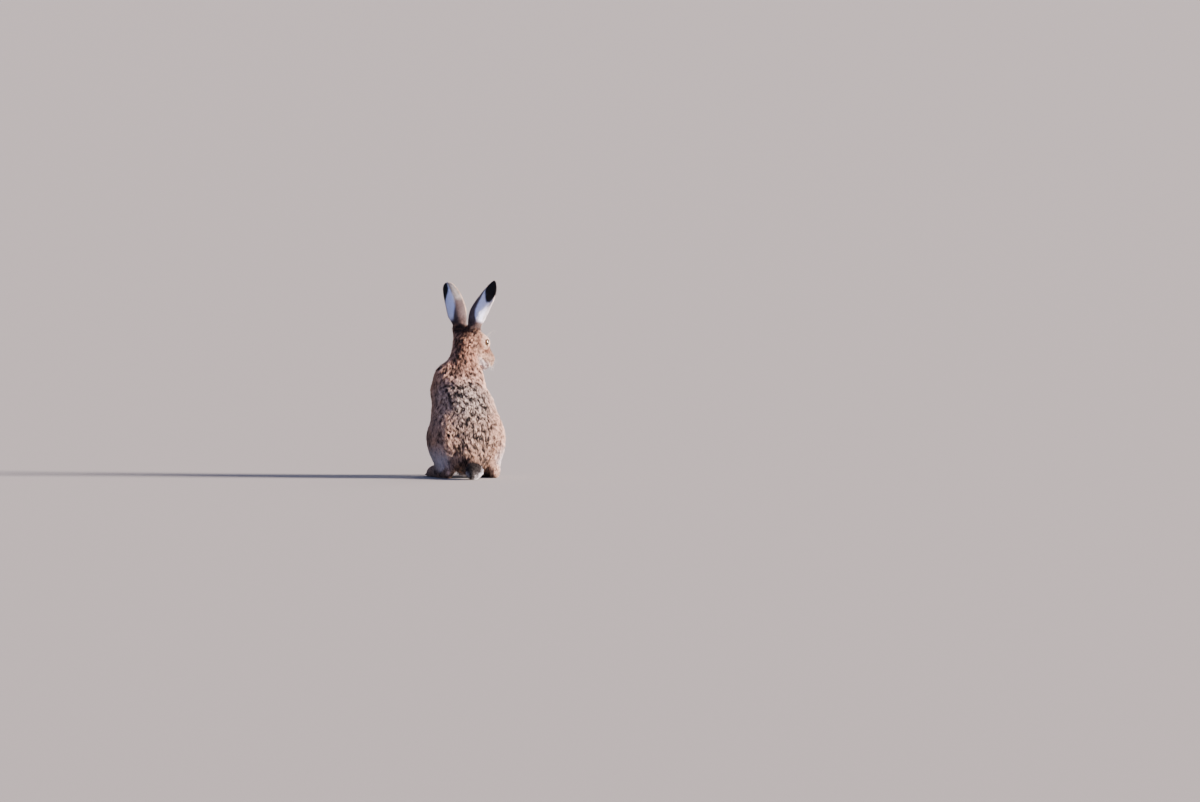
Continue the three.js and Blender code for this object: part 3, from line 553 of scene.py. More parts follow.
skin_material = haired_material("hide", (900, 900, 260), 0.7, 0.5, 0.75)
hide.vertices.foreach_set("co", skin_points.astype(np.float32).ravel())
hide.polygons.foreach_set("use_smooth", np.full(len(hide.polygons), True))
hold_colours(hide, skin_colour)
hide.materials.clear()
hide.materials.append(skin_material)
hide.update()
hide.name = "skin"
skin = bpy.data.objects.new("skin", hide)
bpy.context.scene.collection.objects.link(skin)
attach(skin, "root")
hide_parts(*FLESH)

# Eyes
# Large wet eyeballs on the sides of the head, with an amber iris round a dark pupil. Each sits in its socket
# between two lids of skin, which have a dark wet margin and rest on the ball.

BALL_RADIUS = EYE_RADIUS - 0.1 * MM
EYE_LOOK = np.array([0.95, -0.25, 0.12])  # of the left one, in the head's frame
# From the middle of the pupil outwards: share of a half turn from the look, and colour
EYE_RINGS = [
    (0.135, "#040303"),
    (0.15, "#1a1009"),
    (0.17, "#2c1d0e"),
    (0.22, "#453020"),
    (0.26, "#2a1b0e"),
    (0.285, "#22140a"),
    (0.3, "#0e0a08"),
]


def eye_axes(side):
    """Columns: forwards along the head, upwards, and out along the look of the eye. Up is the head's up less
    its share along the look, and forwards is their cross product."""
    look = EYE_LOOK * [side, 1, 1] / np.linalg.norm(EYE_LOOK)
    up = np.array([0, 0, 1.0]) - look[2] * look
    up /= np.linalg.norm(up)
    forwards = np.cross(up, look) * (1 if np.cross(up, look)[1] < 0 else -1)
    return HEAD_AXES @ np.stack([forwards, up, look], 1)


def eye_material():
    """Wet eye: the map's V is the angle from the look, and sets pupil, iris, its dark rim and the dark
    beyond. Rays of noise round the look move the borders a little."""
    material, tree, shader = plain_material("eye", swatch("#8a5420"), 0.12)
    gaze = add_node(tree, "UVMap", uv_map="gaze").outputs["UV"]
    rays = add_node(tree, "Mapping", {"Vector": gaze, "Scale": (70.0, 3.0, 1.0)}).outputs["Vector"]
    noise = add_node(tree, "TexNoise", {"Vector": rays, "Scale": 1.0, "Detail": 3.0}).outputs["Fac"]
    from_look = add_node(tree, "SeparateXYZ", {"Vector": gaze}).outputs["Y"]
    shifted = add_node(tree, "Math", {0: noise, 1: 0.05, 2: from_look}, operation="MULTIPLY_ADD").outputs[0]
    rings = add_node(tree, "ValToRGB", {"Fac": shifted})
    stops = rings.color_ramp.elements
    while len(stops) < len(EYE_RINGS):
        stops.new(0.5)
    for stop, (position, code) in zip(stops, EYE_RINGS):
        stop.position, stop.color = position, (*swatch(code), 1.0)
    tree.links.new(rings.outputs["Color"], shader.inputs["Base Color"])
    shader.inputs["Specular IOR Level"].default_value = 0.15
    shader.inputs["Coat Weight"].default_value = 0.7
    shader.inputs["Coat Roughness"].default_value = 0.03
    return material


def map_points(mesh, name, values):
    """Stores a UV map from two numbers for each corner of the mesh."""
    layer = mesh.uv_layers.new(name=name)
    layer.data.foreach_set("uv", np.asarray(values, np.float32).ravel())


# A lid is a lip that rests on the ball, a fold that runs out under the hair, and a way back below it. The two
# are one ring that goes all the way round.
LID_OUTLINE = (50.0, 39.0)  # half the opening along the head and upwards, degrees at the eye's middle
LID_PROFILE = np.array(
    [
        (0.0, -0.1), (1.5, 0.55), (4.0, 0.95), (7.5, 0.85), (12.0, 0.5), (18.0, 0.8),
        (26.0, 0.5), (34.0, -0.6), (34.0, -2.5), (20.0, -2.0), (8.0, -1.5), (0.5, -0.9),
    ]
)  # degrees beyond the opening, and mm over the ball


def lid_shape(middle, axes):
    """Points, quads, and for each point the degrees beyond the opening and the way out from the eye. The
    opening is an ellipse of angles, drawn out to a corner at the front and a smaller one behind. Each point
    is the middle plus radius times (sin a cos b, sin a sin b, cos a), a being the opening's angle there plus
    the degrees."""
    b = np.linspace(0, 2 * np.pi, 72, endpoint=False)[:, None]
    opening = 1 / np.sqrt((np.cos(b) / LID_OUTLINE[0]) ** 2 + (np.sin(b) / LID_OUTLINE[1]) ** 2)
    opening = opening + 9 * np.clip(np.cos(b + 0.25), 0, 1) ** 14 + 4 * np.clip(-np.cos(b), 0, 1) ** 12
    beyond, height = LID_PROFILE.T[:, None]
    a = np.radians(opening + beyond)
    radius = EYE_RADIUS + height * MM
    local = np.stack([radius * np.sin(a) * np.cos(b), radius * np.sin(a) * np.sin(b), radius * np.cos(a)], 2)
    rows, columns = a.shape
    i, j = (g.ravel() for g in np.meshgrid(np.arange(rows), np.arange(columns), indexing="ij"))
    after, beside = (i + 1) % rows, (j + 1) % columns
    corners = [i * columns + j, i * columns + beside, after * columns + beside, after * columns + j]
    outwards = np.stack([np.cos(b), np.sin(b), 0 * b], 2) * np.ones((1, columns, 1))
    points = middle + local.reshape(-1, 3) @ axes.T
    return points, np.stack(corners, 1), np.tile(beyond[0], rows), outwards.reshape(-1, 3) @ axes.T


wet_eye = eye_material()
lid_material = haired_material("eyelid", (500, 500, 500), 0.4, 0.1, 0.45)
lids = {}
for hand, side in SIDES.items():
    middle, axes = box_middle("eye_" + hand), eye_axes(side)
    points, faces = ball(middle, BALL_RADIUS, 40, 56, axes)
    eyeball = mesh_piece("eyeball_" + hand, points, faces[:, ::side], wet_eye)
    looked = (points[faces[:, ::side].ravel()] - middle) @ axes
    turn = (np.arctan2(looked[:, 1], looked[:, 0]) / (2 * np.pi) % 1.0).reshape(-1, 3)
    turn += (turn < 0.5) & (np.ptp(turn, axis=1) > 0.5)[:, None]
    from_look = np.arccos(np.clip(looked[:, 2] / np.linalg.norm(looked, axis=1), -1, 1)) / np.pi
    map_points(eyeball.data, "gaze", np.column_stack([turn.ravel(), from_look]))
    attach(eyeball, "root")
    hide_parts("eye_" + hand)

    points, quads, beyond, outwards = lid_shape(middle, axes)
    quads = quads[:, ::-side]
    eyelids = mesh_piece("eyelids_" + hand, points, quads, lid_material)
    hold_colours(eyelids.data, mixed(swatch("#c2a48c"), swatch("#1f1512"), soft(7.5, 4.5, beyond)[:, None]))
    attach(eyelids, "root")
    lids[hand] = points, quads, beyond, outwards

# Ears
# Thin gristle under skin, rolled into a long scoop that is a closed tube at the root, sunk in the head. The
# back has a black tip, a brown inner half, a white outer half and pale edges. The inner half is paler grey
# near the tip, which is painted light, and its brown below is darkened as painted shadow.

EAR_WIDTH = 64.0  # mm, laid flat
EAR_CURL = (13.4, 22.9)  # radius of the roll at the root and beyond, mm
EAR_WALL = (2.4, 1.3)  # thickness at the root and at the tip, mm
EAR_HAIR = 0.6  # depth of the short coat on it, mm
# Lengths in the head's frame, mm. White and black are the borders of those marks: white begins at a share
# across that depends on the share of the length, and black at a share of the length that depends on the
# share across.
# Grey is the share of pale grey on the upper inner half of each ear, which is painted light.
EARS = {
    "left": dict(
        tip=(96, 61, 114), rise=(0.38, 0.54, 1), twist=0.46, grey=0.95,
        white=([0.22, 0.42, 0.62, 0.78], [0.21, -0.1, -0.19, -0.16]),
        black=([-0.3, -0.05, 0.1, 0.6, 1], [1.1, 0.88, 0.8, 0.69, 0.63]),
    ),
    "right": dict(
        tip=(88, 63, 119), rise=(0.01, 0.31, 1), twist=-0.41, grey=0.35,
        white=([0.22, 0.42, 0.62, 0.72, 0.8], [0.3, 0, -0.17, -0.5, -1.2]),
        black=([-1, 0, 0.5, 0.75, 1], [0.77, 0.71, 0.63, 0.66, 0.8]),
    ),
}


def ear_shape(hand, rows=72, columns=30):
    """Points, faces, and for each point the share of the ear's length, the share across (1 at the outer
    edge), whether it is on the back, and the direction to the tip. The midline is a curve a(1-v)^2 +
    2bv(1-v) + cv^2 from root to tip; round it each section is an arc of radius r and half angle width / 2r,
    and back again inside by the wall."""
    side, ear = SIDES[hand], EARS[hand]
    flip = np.array([side, 1, 1])
    root, tip = EAR_ROOT[hand], np.array(ear["tip"]) * flip
    rise = np.array(ear["rise"]) * flip
    bend = root + rise / np.linalg.norm(rise) * 0.45 * np.linalg.norm(tip - root)
    shaft, point = np.linspace(0, 0.9, rows * 2 // 3, endpoint=False), np.linspace(1, 0.16, rows // 3)
    v = np.concatenate([shaft, 1 - 0.1 * point**2])[:, None]
    path = root * (1 - v) ** 2 + 2 * bend * v * (1 - v) + tip * v**2
    tangent = 2 * (1 - v) * (bend - root) + 2 * v * (tip - bend)
    tangent /= np.linalg.norm(tangent, axis=1, keepdims=True)
    back = np.array([-side * np.sin(ear["twist"]), np.cos(ear["twist"]), 0.0])
    back = back - (tangent @ back)[:, None] * tangent
    back /= np.linalg.norm(back, axis=1, keepdims=True)
    across = np.cross(back, tangent)
    curl = mixed(*EAR_CURL, soft(0, 0.4, v))
    upper = np.clip((v - 0.4) / 0.6, 0, 1)
    width = EAR_WIDTH * mixed(0.9, 1.0, soft(0, 0.32, v)) * np.sqrt(1 - upper**1.32)
    half = np.minimum(width / 2 / curl, 2.5)
    centre = path - back * curl * soft(0, 1, v)
    opened = soft(0.08, 0.3, v)
    wall = mixed(*EAR_WALL, v)

    def put(angle, radius):
        """The points of every section at an angle round the back and a radius, in the head's frame."""
        return (
            centre[:, None]
            + back[:, None] * (radius * np.cos(angle))[:, :, None]
            + across[:, None] * (radius * np.sin(angle))[:, :, None]
        )

    share = np.linspace(-1, 1, columns)[None]
    inner = share[:, ::-1]
    skin_wall = wall * (1 - 0.55 * inner**2)
    outside = put(half * share, curl - EAR_HAIR)
    cup = put(half * inner, curl - EAR_HAIR - skin_wall)
    closing = half + (2 * np.pi - 2 * half) * (np.arange(columns) + 0.5)[None] / columns
    filled = put(closing, curl - EAR_HAIR + 0 * closing)
    inside = filled + (cup - filled) * opened[:, :, None]
    rings = np.concatenate([outside, inside], 1)
    count = rings.shape[1]
    points = np.concatenate([rings.reshape(-1, 3), rings[[0, -1]].mean(1)])
    total = len(v) * count
    faces = tube_faces(len(v), count, 0, total, total + 1)[:, ::-1]
    outer = np.tile(np.r_[np.ones(columns), np.zeros(columns)], len(v))
    lateral = np.tile(np.r_[share[0], inner[0]], len(v)) * side
    towards_tip = np.repeat(tangent, count, 0) @ HEAD_AXES.T
    facts = np.column_stack([np.repeat(v[:, 0], count), lateral, outer, towards_tip])
    return from_head(points), faces, np.concatenate([facts, facts[[0, -1]]])


def ear_marks(hand, facts):
    """Ten numbers for each point of an ear, as in a row of COATS: brown on the inner half, darkened as
    painted shadow, with paler grey near the tip as painted light, white on the outer one, pale at both edges
    and black at the tip, each a soft step over the shares along and across."""
    v, across, outer = facts[:, 0], facts[:, 1], facts[:, 2]
    ear = EARS[hand]
    white = soft(-0.1, 0.1, across - np.interp(v, *ear["white"]))
    black = soft(-0.02, 0.02, v - np.interp(across, *ear["black"]))
    back_marks = [
        ("brown", 0.6 * soft(0.22, 0.06, v)),
        # Paler grey near the tip is painted light
        ("ear_grey_and_light", soft(0.5, 0.62, v) * ear["grey"]),
        # White on the outer half, tinted blue as painted cool shade
        ("ear_white_and_cool_shade", white * soft(0.12, 0.26, v)),
        ("cream", soft(-0.86, -0.94, across) * soft(0.15, 0.35, v)),
        ("white", soft(0.7, 0.84, across) * soft(0.1, 0.25, v)),
        ("black", black),
    ]
    inside_marks = [
        ("cream", soft(0.72, 0.95, np.abs(across))),
        ("face", soft(0.2, 0.04, v)),
        ("black", black * soft(0.6, 0.8, np.maximum(np.abs(across), 3 * v - 2))),
    ]
    back = covered(np.tile(coat_rows["ear_brown_and_shade"], (len(v), 1)), back_marks)
    inside = covered(np.tile(coat_rows["ear_inside"], (len(v), 1)), inside_marks)
    return np.where(outer[:, None] > 0.5, back, inside)


ear_material = haired_material("ear_hide", (900, 900, 260), 0.5, 0.3, 0.7)
ears = {}
for hand in SIDES:
    points, faces, facts = ear_shape(hand)
    marks = ear_marks(hand, facts)
    ear_hide = mesh_piece("ear_hide_" + hand, points, faces, ear_material)
    hold_colours(ear_hide.data, 0.5 * marks[:, :3] + 0.5 * marks[:, 3:6])
    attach(ear_hide, "root")
    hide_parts("ear_" + hand)
    ears[hand] = points, faces, facts, marks

# Claws
# Dark horn at the end of each toe, four to a foot, round on top and curved down to the ground. The root is
# held in the toe, and the tips stand clear of the hair.

horn = plain_material("horn", swatch("#4a3b30"), 0.35)[0]
CLAW_RADIUS = 1.9  # mm
# The middle of the ball of the left foot, and the toes' spacing, radius, length and claws' length, mm
TOES = {
    "hind": dict(ball=(58, -26, 12), spacing=8.2, radius=6.2, length=20.0, claw=11.0),
    "fore": dict(ball=(25, -76, 12), spacing=6.4, radius=5.0, length=15.0, claw=10.0),
}


def bent_cones(starts, ahead, down, lengths, radii, bends, steps=7, sections=8):
    """Cones that start along ahead and bend towards down: at share t the middle is start + length (ahead t +
    down bend t squared), and the radius is the first one times the root of 1 - t, narrowed to half at the
    start. Closed at both ends by a point."""
    t = np.linspace(0, 1, steps + 2)[1:-1]
    side = np.cross(ahead, down)
    middle = starts[:, None] + lengths[:, None, None] * (
        ahead[:, None] * t[None, :, None] + down[:, None] * (bends[:, None] * t[None] ** 2)[:, :, None]
    )
    tip = starts + lengths[:, None] * (ahead + down * bends[:, None])
    angle = np.linspace(0, 2 * np.pi, sections, endpoint=False)
    cosine, sine = np.cos(angle)[:, None], np.sin(angle)[:, None]
    ring = side[:, None, None] * cosine - down[:, None, None] * sine
    radius = radii[:, None] * np.sqrt(1 - t)[None] * (0.5 + 0.5 * soft(0, 0.25, t))[None]
    rings = middle[:, :, None] + ring * radius[:, :, None, None]
    per = steps * sections + 2
    points = np.concatenate([starts[:, None], rings.reshape(len(starts), -1, 3), tip[:, None]], 1)
    one = tube_faces(steps, sections, 1, 0, per - 1)
    faces = one[None] + (np.arange(len(starts)) * per)[:, None, None]
    return points.reshape(-1, 3), faces.reshape(-1, 3)


for limb, toe in TOES.items():
    starts, ahead = [], []
    for side in (1, -1):
        for i in (-1.5, -0.5, 0.5, 1.5):
            reach_mm = toe["length"] * (1 if abs(i) < 1 else 0.72)
            start = np.array(toe["ball"], float) * [side, 1, 1] + [i * toe["spacing"] * 0.8, 0, 0]
            step = np.array([i * toe["spacing"] * 0.28, -reach_mm, toe["radius"] - 1 - toe["ball"][2]])
            level = step * [1, 1, 0] / np.linalg.norm(step[:2])
            starts.append(start + step + level * toe["radius"] * 0.4 + FRAME_SHIFT)
            ahead.append(level)
    starts, ahead = np.array(starts) * MM, np.array(ahead)
    count = len(starts)
    down = np.tile([0.0, 0.0, -1.0], (count, 1))
    sizes = [np.full(count, size) for size in (toe["claw"] * MM, CLAW_RADIUS * MM, 0.3)]
    points, faces = bent_cones(starts, ahead, down, *sizes)
    points[:, 2] = np.maximum(points[:, 2], 0.05 * MM)
    claws = mesh_piece(limb + "_claws", points, faces, horn)
    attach(claws, "root")

# Coat
# Guard hairs over wool, gathered in small locks that lie down the body and curl a little. Each lock is a
# thin closed blade of hair, dark or pale in bands, rooted in the skin and lying on the locks below it.


def drawn(cells, seed):
    """A number from 0 to 1 for each triple of whole numbers: they are multiplied by primes, joined by
    exclusive or, and stirred by shifts and products."""
    key = cells[:, 0] * 73856093 ^ cells[:, 1] * 19349663 ^ cells[:, 2] * 83492791 ^ seed * 2654435761
    for _ in range(2):
        key = ((key ^ (key >> 16)) & 0xFFFFFFFF) * 0x45D9F3B & 0xFFFFFFFF
    return ((key ^ (key >> 16)) & 0xFFFFFF) / 0xFFFFFF


def gathered(points, size, seed):
    """For each point, the nearest of a set of places strewn one to each cube of a lattice, and three numbers
    from 0 to 1 that belong to that place."""
    cell = np.floor(points / size).astype(np.int64)
    best = np.full(len(points), np.inf)
    place, number = np.zeros((len(points), 3)), np.zeros((len(points), 3))
    for step in np.ndindex(3, 3, 3):
        at = cell + np.array(step) - 1
        strewn = (at + np.stack([drawn(at, seed + k) for k in range(3)], 1)) * size
        away = ((points - strewn) ** 2).sum(1)
        nearer = away < best
        best[nearer], place[nearer] = away[nearer], strewn[nearer]
        number[nearer] = np.stack([drawn(at[nearer], seed + 3 + k) for k in range(3)], 1)
    return place, number


def sown(points, faces, per_area, rng):
    """Random places on the triangles, so many to each unit of area: rows of triangles and of their corners'
    shares, which are 1 - u, u (1 - w) and u w, with u the root of a random number and w another."""
    corner = points[faces]
    area = np.linalg.norm(np.cross(corner[:, 1] - corner[:, 0], corner[:, 2] - corner[:, 0]), axis=1) / 2
    wanted = area * per_area[faces].mean(1)
    count = rng.poisson(wanted.sum())
    row = rng.choice(len(faces), count, p=wanted / wanted.sum())
    u, w = np.sqrt(rng.random(count)), rng.random(count)
    return faces[row], np.stack([1 - u, u * (1 - w), u * w], 1)


def taken(values, corners, portion):
    """Values at places inside triangles: those of the corners by their shares."""
    return (values[corners] * portion[:, :, None]).sum(1)


def blades(root, out, lie, length, lift, drop, width, bands, curl, stations):
    """Points, triangles and colours of many thin blades, then a blade's own places on its patch of a map and
    its own triangles. At share s of its length L a blade's middle is root + lie L s + out (h (1 - (1 - s)^2)
    - d s^2) + side c s^2, with lift h, drop d and curl c. Its section is a flat triangle with the ridge
    outwards. Stations are shares with the width there, and bands the colours at the root, at each station
    and at the tip."""
    side = np.cross(out, lie)
    shares = np.array([0.0, *[s for s, _ in stations], 1.0])
    middle = (
        root[:, None]
        + lie[:, None] * (length[:, None] * shares)[:, :, None]
        + out[:, None] * (lift[:, None] * (1 - (1 - shares) ** 2) - drop[:, None] * shares**2)[:, :, None]
        + side[:, None] * (curl[:, None] * shares**2)[:, :, None]
    )
    broad = np.array([w for _, w in stations])
    half = side[:, None] * (width[:, None] * broad * 0.5)[:, :, None]
    ridge = out[:, None] * (width[:, None] * broad * 0.38)[:, :, None]
    mid = middle[:, 1:-1]
    rings = np.stack([mid - half, mid + half, mid + ridge], 2)
    n, per = len(root), 2 + 3 * len(stations)
    points = np.concatenate([middle[:, :1], rings.reshape(n, -1, 3), middle[:, -1:]], 1).reshape(-1, 3)
    one = tube_faces(len(stations), 3, 1, 0, per - 1)
    faces = (one[None] + (np.arange(n) * per)[:, None, None]).reshape(-1, 3)
    colour = np.concatenate([bands[:, :1], np.repeat(bands[:, 1:-1], 3, 1), bands[:, -1:]], 1).reshape(-1, 3)
    across = np.concatenate([[0.5], np.tile([0.0, 1.0, 0.5], len(stations)), [0.5]])
    upward = np.concatenate([[0.0], np.repeat(shares[1:-1], 3), [1.0]])
    return points, faces, colour, np.column_stack([across, upward]), one


coat_material = haired_material("coat", (7, 1.3, 1), 1.6, 0.25, 0.6, on_map=True)
PATCH = 0.003  # breadth of a blade's patch on the unwrapped skin


def coat_piece(name, made, unwrap, rng):
    """A mesh of blades with their colours and two maps. The hairs' streaks follow one. The other gives each
    blade a small patch of the unwrapped skin: its root's place there plus its own places, made small."""
    points, faces, colour, places, one = made
    points[:, 2] = np.maximum(points[:, 2], 0.1 * MM)
    hair = mesh_piece(name, points, faces, coat_material)
    hold_colours(hair.data, colour)
    corner = places[one.ravel()]
    map_points(hair.data, "OFBake", unwrap[:, None] + (corner[None] - 0.5) * PATCH)
    map_points(hair.data, "hair", corner[None] + rng.random((len(unwrap), 1, 2)) * 40.0)
    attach(hair, "root")


def unwrapped(points, columns):
    """Places on a map with one column to each of the listed parts: the angle round the part's axis across
    the column, and the share of the way along the axis, beyond its ends too, up it."""
    nearest = reach(points)[:, columns].argmin(1)
    start, end = part_start[columns][nearest], part_end[columns][nearest]
    axis = end - start
    long = np.linalg.norm(axis, axis=1)
    unit = axis / long[:, None]
    first = np.cross(unit, [0.31, 0.17, 0.93])
    first /= np.linalg.norm(first, axis=1, keepdims=True)
    second = np.cross(unit, first)
    away = points - start
    angle = np.arctan2((away * second).sum(1), (away * first).sum(1)) / (2 * np.pi) + 0.5
    spare = part_sizes[columns][nearest][:, :2].max(1)
    along = ((away * unit).sum(1) + spare) / (long + 2 * spare)
    across = (nearest + 0.03 + 0.94 * angle) / len(columns)
    return np.column_stack([across, 0.02 + 0.96 * np.clip(along, 0, 1)])


def clear_of(direction, out):
    """Directions laid along the surface and made one long: each less its share along the outward one."""
    flat = direction - (direction * out).sum(1, keepdims=True) * out
    return flat / np.maximum(np.linalg.norm(flat, axis=1, keepdims=True), 1e-9)


def turned(direction, out, angle):
    """Directions turned about the outward ones: direction cos angle + (out x direction) sin angle."""
    return direction * np.cos(angle)[:, None] + np.cross(out, direction) * np.sin(angle)[:, None]


# A lattice of cells round the skin, each with the number of a skin point in it or near it
LATTICE = 2.5 * MM
lattice_corner = skin_points.min(0) - 8 * LATTICE
lattice = np.full(((skin_points.max(0) - lattice_corner) / LATTICE).astype(int) + 9, -1, np.int32)
lattice[tuple(((skin_points - lattice_corner) / LATTICE).astype(int).T)] = np.arange(len(skin_points))
for _ in range(6):
    for axis in range(3):
        for step in (1, -1):
            lattice = np.where(lattice < 0, np.roll(lattice, step, axis), lattice)
even_normals = relaxed(skin_normals, 0.5, 3)
even_normals /= np.linalg.norm(even_normals, axis=1, keepdims=True)


def over_skin(points):
    """Height of each point over the skin along its normal, and the number of a skin point near it: the one in
    the lattice cell of the point, then, three times over, the one in the cell of the point's foot."""
    foot = points
    for _ in range(3):
        cell = np.clip(((foot - lattice_corner) / LATTICE).astype(int), 0, np.array(lattice.shape) - 1)
        near = lattice[tuple(cell.T)]
        height = ((points - skin_points[near]) * even_normals[near]).sum(1)
        foot = points - even_normals[near] * height[:, None]
    return height, near


def pale_and_dark(coat, tone, rng, stations):
    """Colours up each lock. Tone from 0 to 1 is compared with the coat's share of dark locks: below it the
    lock is dark, above it it has the pale band below a darker tip, and all are dark at the root."""
    wool, pale, dark = coat[:, :3], coat[:, 3:6], coat[:, 6:9]
    is_dark = soft(0.08, -0.08, tone - coat[:, 9])[:, None]
    light = mixed(pale, dark, is_dark) * (0.72 + 0.5 * rng.random((len(tone), 1)))
    tip = mixed(light, dark, 0.1 + 0.35 * rng.random((len(tone), 1)) * (1 - is_dark))
    steps = [mixed(wool, dark, 0.5) * 0.6]
    for share, _ in stations:
        steps.append(mixed(mixed(wool, dark, 0.4), light, soft(0.15, 0.6, share)))
    return np.stack([*steps, tip], 1)


# Shares of a blade's length with the share of its width there
BODY_STATIONS = [(0.32, 1.0), (0.7, 0.62)]
SHORT_STATIONS = [(0.4, 1.0)]
# Parts that a piece covers, locks for each square mm, stations and slot
LONG_COATS = {
    "coat_back": (["back"], 0.66, BODY_STATIONS, "coat"),
    "coat_rump": (["rump"], 0.62, BODY_STATIONS, "coat"),
    "coat_withers": (["withers"], 0.68, BODY_STATIONS, "coat"),
    "coat_underside": (["breast", "belly"], 0.50, BODY_STATIONS, "coat"),
    "coat_neck": (["nape", "throat", "scruff"], 0.78, BODY_STATIONS, "coat"),
    "coat_shoulders": (["shoulder", "upper_arm"], 0.62, BODY_STATIONS, "coat"),
    "coat_thighs": (["thigh", "shank"], 0.56, BODY_STATIONS, "coat"),
    "coat_tail": (["tail"], 0.7, BODY_STATIONS, "tail_fur"),
}
SHORT_COATS = {
    "coat_head": (["brow", "muzzle"], 1.45, SHORT_STATIONS, "coat"),
    "coat_legs": (["foreleg"], 0.9, SHORT_STATIONS, "coat"),
    "coat_feet": (["hind_foot", "forepaw"], 0.8, SHORT_STATIONS, "foot_fur"),
}
CLUMP, SHORT_CLUMP = 2.9 * MM, 3.0 * MM  # breadth of a clump of locks
CLUMP_SHAPE = np.array([1.0, 1.0, 0.55])  # clumps are longer upwards than across
REGION = 22 * MM  # breadth of the stretches of coat in which clumps turn together
NOSE = np.array([0, -80, -20])  # in the head's frame, mm
RAISED_AT_EAR = 3.5 * MM
owner = shares_of(outer_points).argmax(1)
bare = near_head * openings(in_head(outer_points))
for hand in SIDES:
    away = np.linalg.norm(outer_points - box_middle("eye_" + hand), axis=1) / MM
    bare = np.maximum(bare, soft(11.6, 10.8, away))


def round_eyes(root, out, lie, length):
    """Lie and length of locks near the eyes: they point away from the eye, by 1.3 times its direction close
    to it, and shorten to 0.42 of their length."""
    for hand in SIDES:
        from_eye = root - box_middle("eye_" + hand)
        away = np.linalg.norm(from_eye, axis=1) / MM
        lie = clear_of(lie + 1.3 * soft(19, 11, away)[:, None] * from_eye / (away * MM)[:, None], out)
        length = length * mixed(0.42, 1.0, soft(11, 24, away))
    return lie, length


def round_ears(root, out, lie):
    """Lie of locks near the ears' roots, turned part of the way up the ear, and how near each is, from 0 to
    1: soft steps over the distance from the ear's line and the height along it."""
    q = in_head(root)
    nearness = np.zeros(len(root))
    for hand, foot in EAR_ROOT.items():
        rise = np.array(EARS[hand]["rise"]) * [SIDES[hand], 1, 1]
        rise /= np.linalg.norm(rise)
        height = (q - foot) @ rise
        away = np.linalg.norm((q - foot) - height[:, None] * rise, axis=1)
        close = soft(21, 15, away) * soft(-17, -2, height)
        up_ear = clear_of(np.tile(HEAD_AXES @ rise, (len(root), 1)), out)
        lie = clear_of(mixed(lie, up_ear, 0.45 * close[:, None]), out)
        nearness = np.maximum(nearness, close)
    return lie, nearness


for seed, (name, (members, density, stations, slot)) in enumerate({**LONG_COATS, **SHORT_COATS}.items()):
    rng = np.random.default_rng(100 + seed)
    short = name in SHORT_COATS
    columns = [k for k, part in enumerate(part_names) if part in members]
    kept = triangles[np.isin(owner, columns)[triangles].sum(1) >= 2]
    per_area = density / MM**2 * (1 - bare) * (1 + 0.9 * shares[:, part_names.index("muzzle")])
    corners, portion = sown(skin_points, kept, per_area, rng)
    root, out = taken(skin_points, corners, portion), taken(even_normals, corners, portion)
    out /= np.linalg.norm(out, axis=1, keepdims=True)
    weight = taken(shares, corners, portion)
    sizes = weight @ part_sizes
    n = len(root)

    # Locks gather in clumps, and the clumps of a stretch turn together
    cell = SHORT_CLUMP if short else CLUMP
    place, number = gathered(root * CLUMP_SHAPE, cell, 11)
    place = place / CLUMP_SHAPE
    off_centre = np.linalg.norm((place - root) * CLUMP_SHAPE, axis=1) / cell
    wide_number = gathered(root, REGION, 31)[1]
    swirl = np.radians(20 if short else 60) * (number[:, 0] - 0.5)
    swirl = swirl + np.radians(20) * (wide_number[:, 0] - 0.5)
    lie = clear_of(weight @ part_lie, out)
    lie = turned(lie, out, swirl + np.radians(7) * rng.standard_normal(n))
    length = sizes[:, 3] * (0.8 + 0.4 * rng.random(n)) * (0.85 + 0.3 * number[:, 1])

    # The face: velvet at the nose, short round the eyes, raised round the ears
    at_nose = soft(15, 7, np.linalg.norm(in_head(root) - NOSE, axis=1))
    lie, length = round_eyes(root, out, lie, length * (1 - 0.55 * at_nose))
    at_ear = np.zeros(n)
    if name in ("coat_head", "coat_neck"):
        lie, at_ear = round_ears(root, out, lie)
        length = length * (1 - 0.15 * at_ear)

    # Each lock leans to the middle of its clump and bends back to the skin, highest in the middle
    lie = clear_of(lie + (place - root) * (0.35 if short else 0.8) / length[:, None], out)
    drop, near = over_skin(root + lie * length[:, None])
    drop = np.clip(drop, -0.6 * length, 0.6 * length) * (1 - 0.9 * at_ear)
    rise = depth[near] * (0.85 + 0.2 * rng.random(n)) * (1.2 - 0.8 * np.clip(off_centre, 0, 0.9))
    rise = rise + RAISED_AT_EAR * at_ear
    marks = markings(root + 7 * MM * (wide_number - 0.5), out, weight)
    # Locks near a clump's edge lean to dark: painted shade in the gaps between clumps. The rest of the tone
    # differs at random.
    tone = 0.5 * number[:, 2] + 0.18 * rng.random(n) + 0.32 * np.clip(1.1 - 1.5 * off_centre, 0, 1)
    bands = pale_and_dark(marks, 0.5 + (tone - 0.46) * 1.7, rng, stations)
    curl = length * (0.55 * (number[:, 1] - 0.5) + 0.08 * rng.standard_normal(n)) * (0.3 if short else 1.0)
    width = sizes[:, 4] * (0.75 + 0.5 * rng.random(n)) * (1 - 0.25 * at_nose)
    sunk = 0.4 * MM
    made = blades(root - out * sunk, out, lie, length, rise + sunk, drop, width, bands, curl, stations)
    coat_piece(name, made, unwrapped(root, columns), rng)


